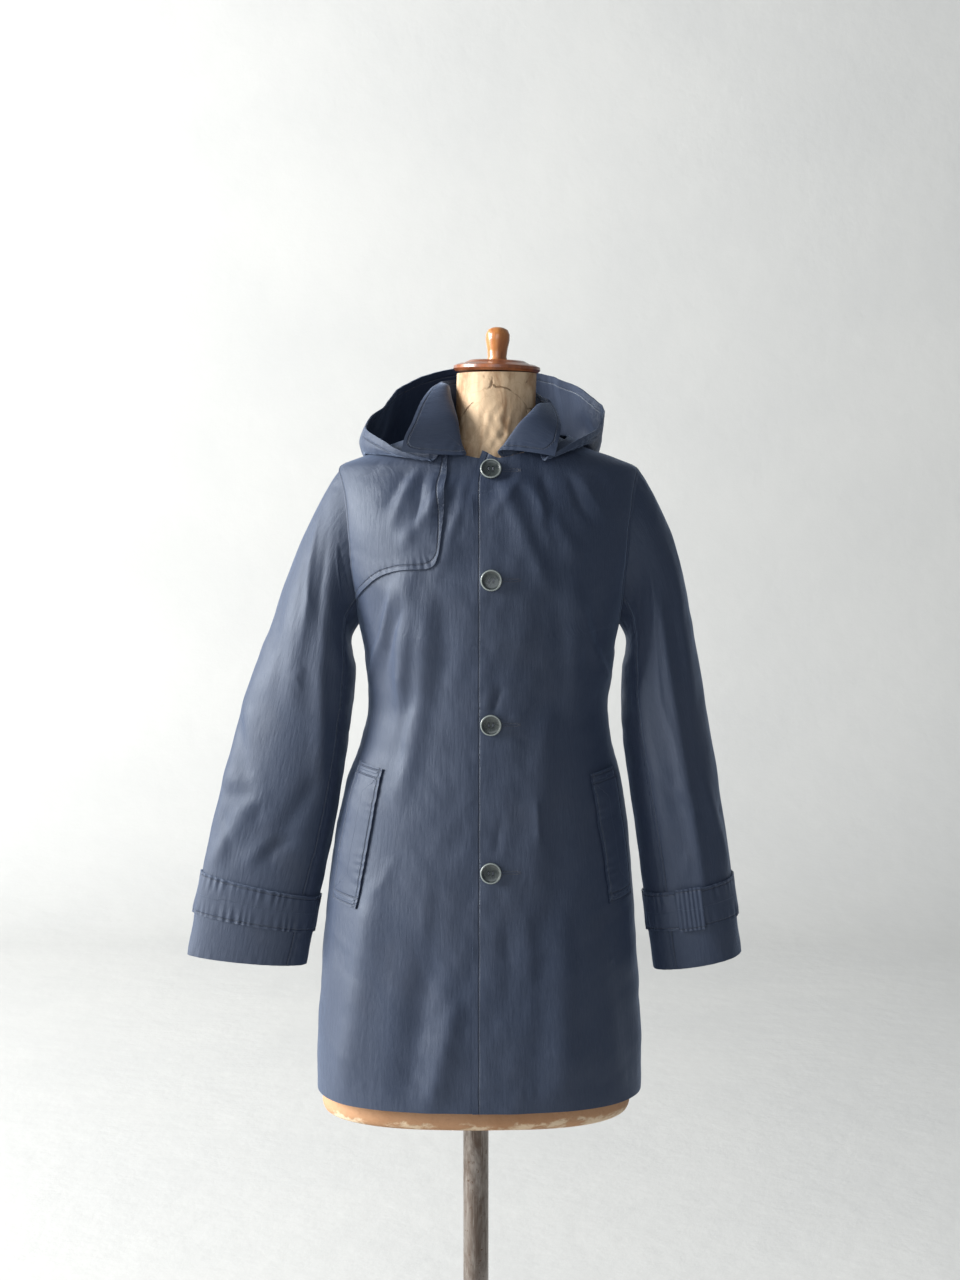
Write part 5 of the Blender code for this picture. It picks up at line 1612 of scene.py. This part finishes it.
def drill_holes(button):
    """Cut the four holes that the thread goes through."""
    shape = bmesh.new()
    for x in (-HOLE_SPREAD, HOLE_SPREAD):
        for y in (-HOLE_SPREAD, HOLE_SPREAD):
            middle = Matrix.Translation((x * MM, y * MM, BUTTON_THICKNESS * MM))
            bmesh.ops.create_cone(
                shape,
                cap_ends=True,
                segments=20,
                radius1=HOLE_RADIUS * MM,
                radius2=HOLE_RADIUS * MM,
                depth=DRILL_DEPTH * MM,
                matrix=middle,
            )
    mesh = bpy.data.meshes.new("drill")
    shape.to_mesh(mesh)
    shape.free()
    drill = new_object("drill", mesh)
    cut = button.modifiers.new("holes", "BOOLEAN")
    cut.operation = "DIFFERENCE"
    cut.object = drill
    bpy.context.view_layer.update()
    ready = button.evaluated_get(bpy.context.evaluated_depsgraph_get())
    drilled = bpy.data.meshes.new_from_object(ready)
    button.modifiers.clear()
    button.data = drilled
    drilled.set_sharp_from_angle(angle=SHARP_ANGLE)
    bpy.data.objects.remove(drill)


BUTTON_PROFILE = (
    (5.0, 0.0),
    (BUTTON_RADIUS - 2.0, 0.4),
    (BUTTON_RADIUS - 0.5, 1.2),
    (BUTTON_RADIUS, 2.3),
    (BUTTON_RADIUS - 0.25, BUTTON_THICKNESS - 0.7),
    (BUTTON_RADIUS - 0.8, BUTTON_THICKNESS - 0.15),
    (BUTTON_RADIUS - 1.4, BUTTON_THICKNESS),
    (BUTTON_RADIUS - 2.0, BUTTON_THICKNESS - 0.2),
    (BUTTON_RADIUS - 2.7, BUTTON_THICKNESS - 0.8),
    (BUTTON_RADIUS - 3.8, DISH + 0.1),
    (BUTTON_RADIUS - 5.5, DISH - 0.1),
    (3.0, DISH - 0.25),
    (1.0, DISH - 0.3),
)


def button_threads():
    """Four threads, two through each pair of holes, in the button's own frame."""
    made = []
    for x in (-HOLE_SPREAD, HOLE_SPREAD):
        for beside in (-THREAD_SPREAD, THREAD_SPREAD):
            reach = HOLE_SPREAD + THREAD_PAST_HOLE
            ends = (np.array([x + beside, y, THREAD_HEIGHT]) for y in (-reach, reach))
            made.append((*ends, np.array([0.0, 0, 1])))
    return made


def make_buttons(finish):
    """Four sewn-on buttons, square to the cloth under them."""
    for number, height in enumerate(BUTTON_HEIGHTS, start=1):
        node = f"button_{number}"
        button = add_turned(f"{node}_turned", BUTTON_PROFILE, 72, finish, [node])
        drill_holes(button)
        angle = angle_at_x(BUTTON_X, height)
        near = moved_out(body_surface, angle, height, LAYER + BUTTON_GAP)
        facing = moved_out(body_surface, angle, height, LAYER + BUTTON_GAP + 10) - near
        button.location = near * MM
        button.rotation_euler = (math.atan2(-facing[1], facing[2]), 0, 0)
        thread = add_stitches(f"{node}_thread", button_threads())
        thread.location, thread.rotation_euler = button.location, button.rotation_euler


# ---- the studio, in metres ----
STAGE_HALF_WIDTH = 6.0
WALL_Y = 4.8  # far enough back for a view from behind
WALL_HEIGHT = 5.0
BEND_RADIUS = 1.2  # where the floor runs up into the wall

# Soft square lamps: (name, place, aim, watts, size, colour)
LAMPS = (
    ("key", (-5.4, -0.9, 2.9), (0, 0, 1.2), 860, 2.9, (1.0, 1.0, 0.98)),
    ("fill", (-0.6, -4.2, 2.4), (0, 0, 1.1), 38, 2.4, (0.86, 0.93, 1.0)),
    ("wall", (-4.4, 1.6, 3.8), (-0.3, WALL_Y, 1.6), 110, 1.6, (1.0, 1.0, 0.99)),
)
ROOM_LIGHT = {"Color": (0.86, 0.93, 1.0, 1), "Strength": 0.24}

CAMERA_PLACE = (0.005, -2.31, 1.41)
SENSOR_WIDTH = 36  # mm, on the picture's longer side
PICTURE_HEIGHT = 1280  # pixels, as are the two below
FOCAL_LENGTH = 1923
HORIZON_OFF_MIDDLE = 150


def add_lamp(name, place, aim, energy, size, colour):
    lamp = bpy.data.lights.new(name, "AREA")
    lamp.energy, lamp.color, lamp.shape, lamp.size = energy, colour, "SQUARE", size
    made = new_object(name, lamp)
    made.location = place
    x, y, z = np.array(aim, float) - np.array(place, float)
    made.rotation_euler = (math.pi / 2 + math.atan2(z, math.hypot(x, y)), 0, math.atan2(-x, y))


def make_backdrop():
    """A floor and a wall in one sheet, joined by a quarter round."""
    bend = np.linspace(0, 90, 13)
    round_y = WALL_Y - BEND_RADIUS + BEND_RADIUS * sin(bend)
    round_z = BEND_RADIUS - BEND_RADIUS * cos(bend)
    profile = [(-STAGE_HALF_WIDTH, 0.0), *zip(round_y, round_z), (WALL_Y, WALL_HEIGHT)]
    corners = [(x, y, z) for y, z in profile for x in (-STAGE_HALF_WIDTH, STAGE_HALF_WIDTH)]
    faces = [(2 * i, 2 * i + 1, 2 * i + 3, 2 * i + 2) for i in range(len(profile) - 1)]
    mesh = bpy.data.meshes.new("backdrop")
    mesh.from_pydata(corners, [], faces)
    mesh.shade_smooth()
    mesh.materials.append(plaster_finish())
    new_object("backdrop", mesh)


def make_stage():
    """A pale floor that runs up into a pale wall, soft light from the left, and the camera."""
    make_backdrop()
    for lamp in LAMPS:
        add_lamp(*lamp)
    scene = bpy.context.scene
    scene.world = bpy.data.worlds.new("studio")
    scene.world.use_nodes = True
    for socket, value in ROOM_LIGHT.items():
        scene.world.node_tree.nodes["Background"].inputs[socket].default_value = value
    scene.view_settings.view_transform = "Standard"

    lens = bpy.data.cameras.new("camera")
    lens.sensor_width = SENSOR_WIDTH
    lens.lens = SENSOR_WIDTH * FOCAL_LENGTH / PICTURE_HEIGHT
    scene.camera = new_object("camera", lens)
    scene.camera.location = CAMERA_PLACE
    tilt = math.atan2(HORIZON_OFF_MIDDLE, FOCAL_LENGTH)
    scene.camera.rotation_euler = (math.pi / 2 - tilt, 0, 0)


def main():
    cloth = cloth_finish()
    thread_finish()
    cap_wood = wood_finish("cap_wood", (0.33, 0.105, 0.035), (0.13, 0.032, 0.012), 46.0)
    knob_wood = wood_finish("knob_wood", (0.56, 0.225, 0.062), (0.34, 0.110, 0.028), 60.0)
    make_form(cover_finish(), cap_wood, knob_wood, steel_finish(), iron_finish())
    make_back(cloth)
    make_fronts(cloth)
    make_storm_flap(cloth)
    make_pocket_welts(cloth)
    make_sleeves(cloth)
    make_collar(cloth)
    make_hood(cloth)
    make_buttons(horn_finish())
    make_stage()


main()
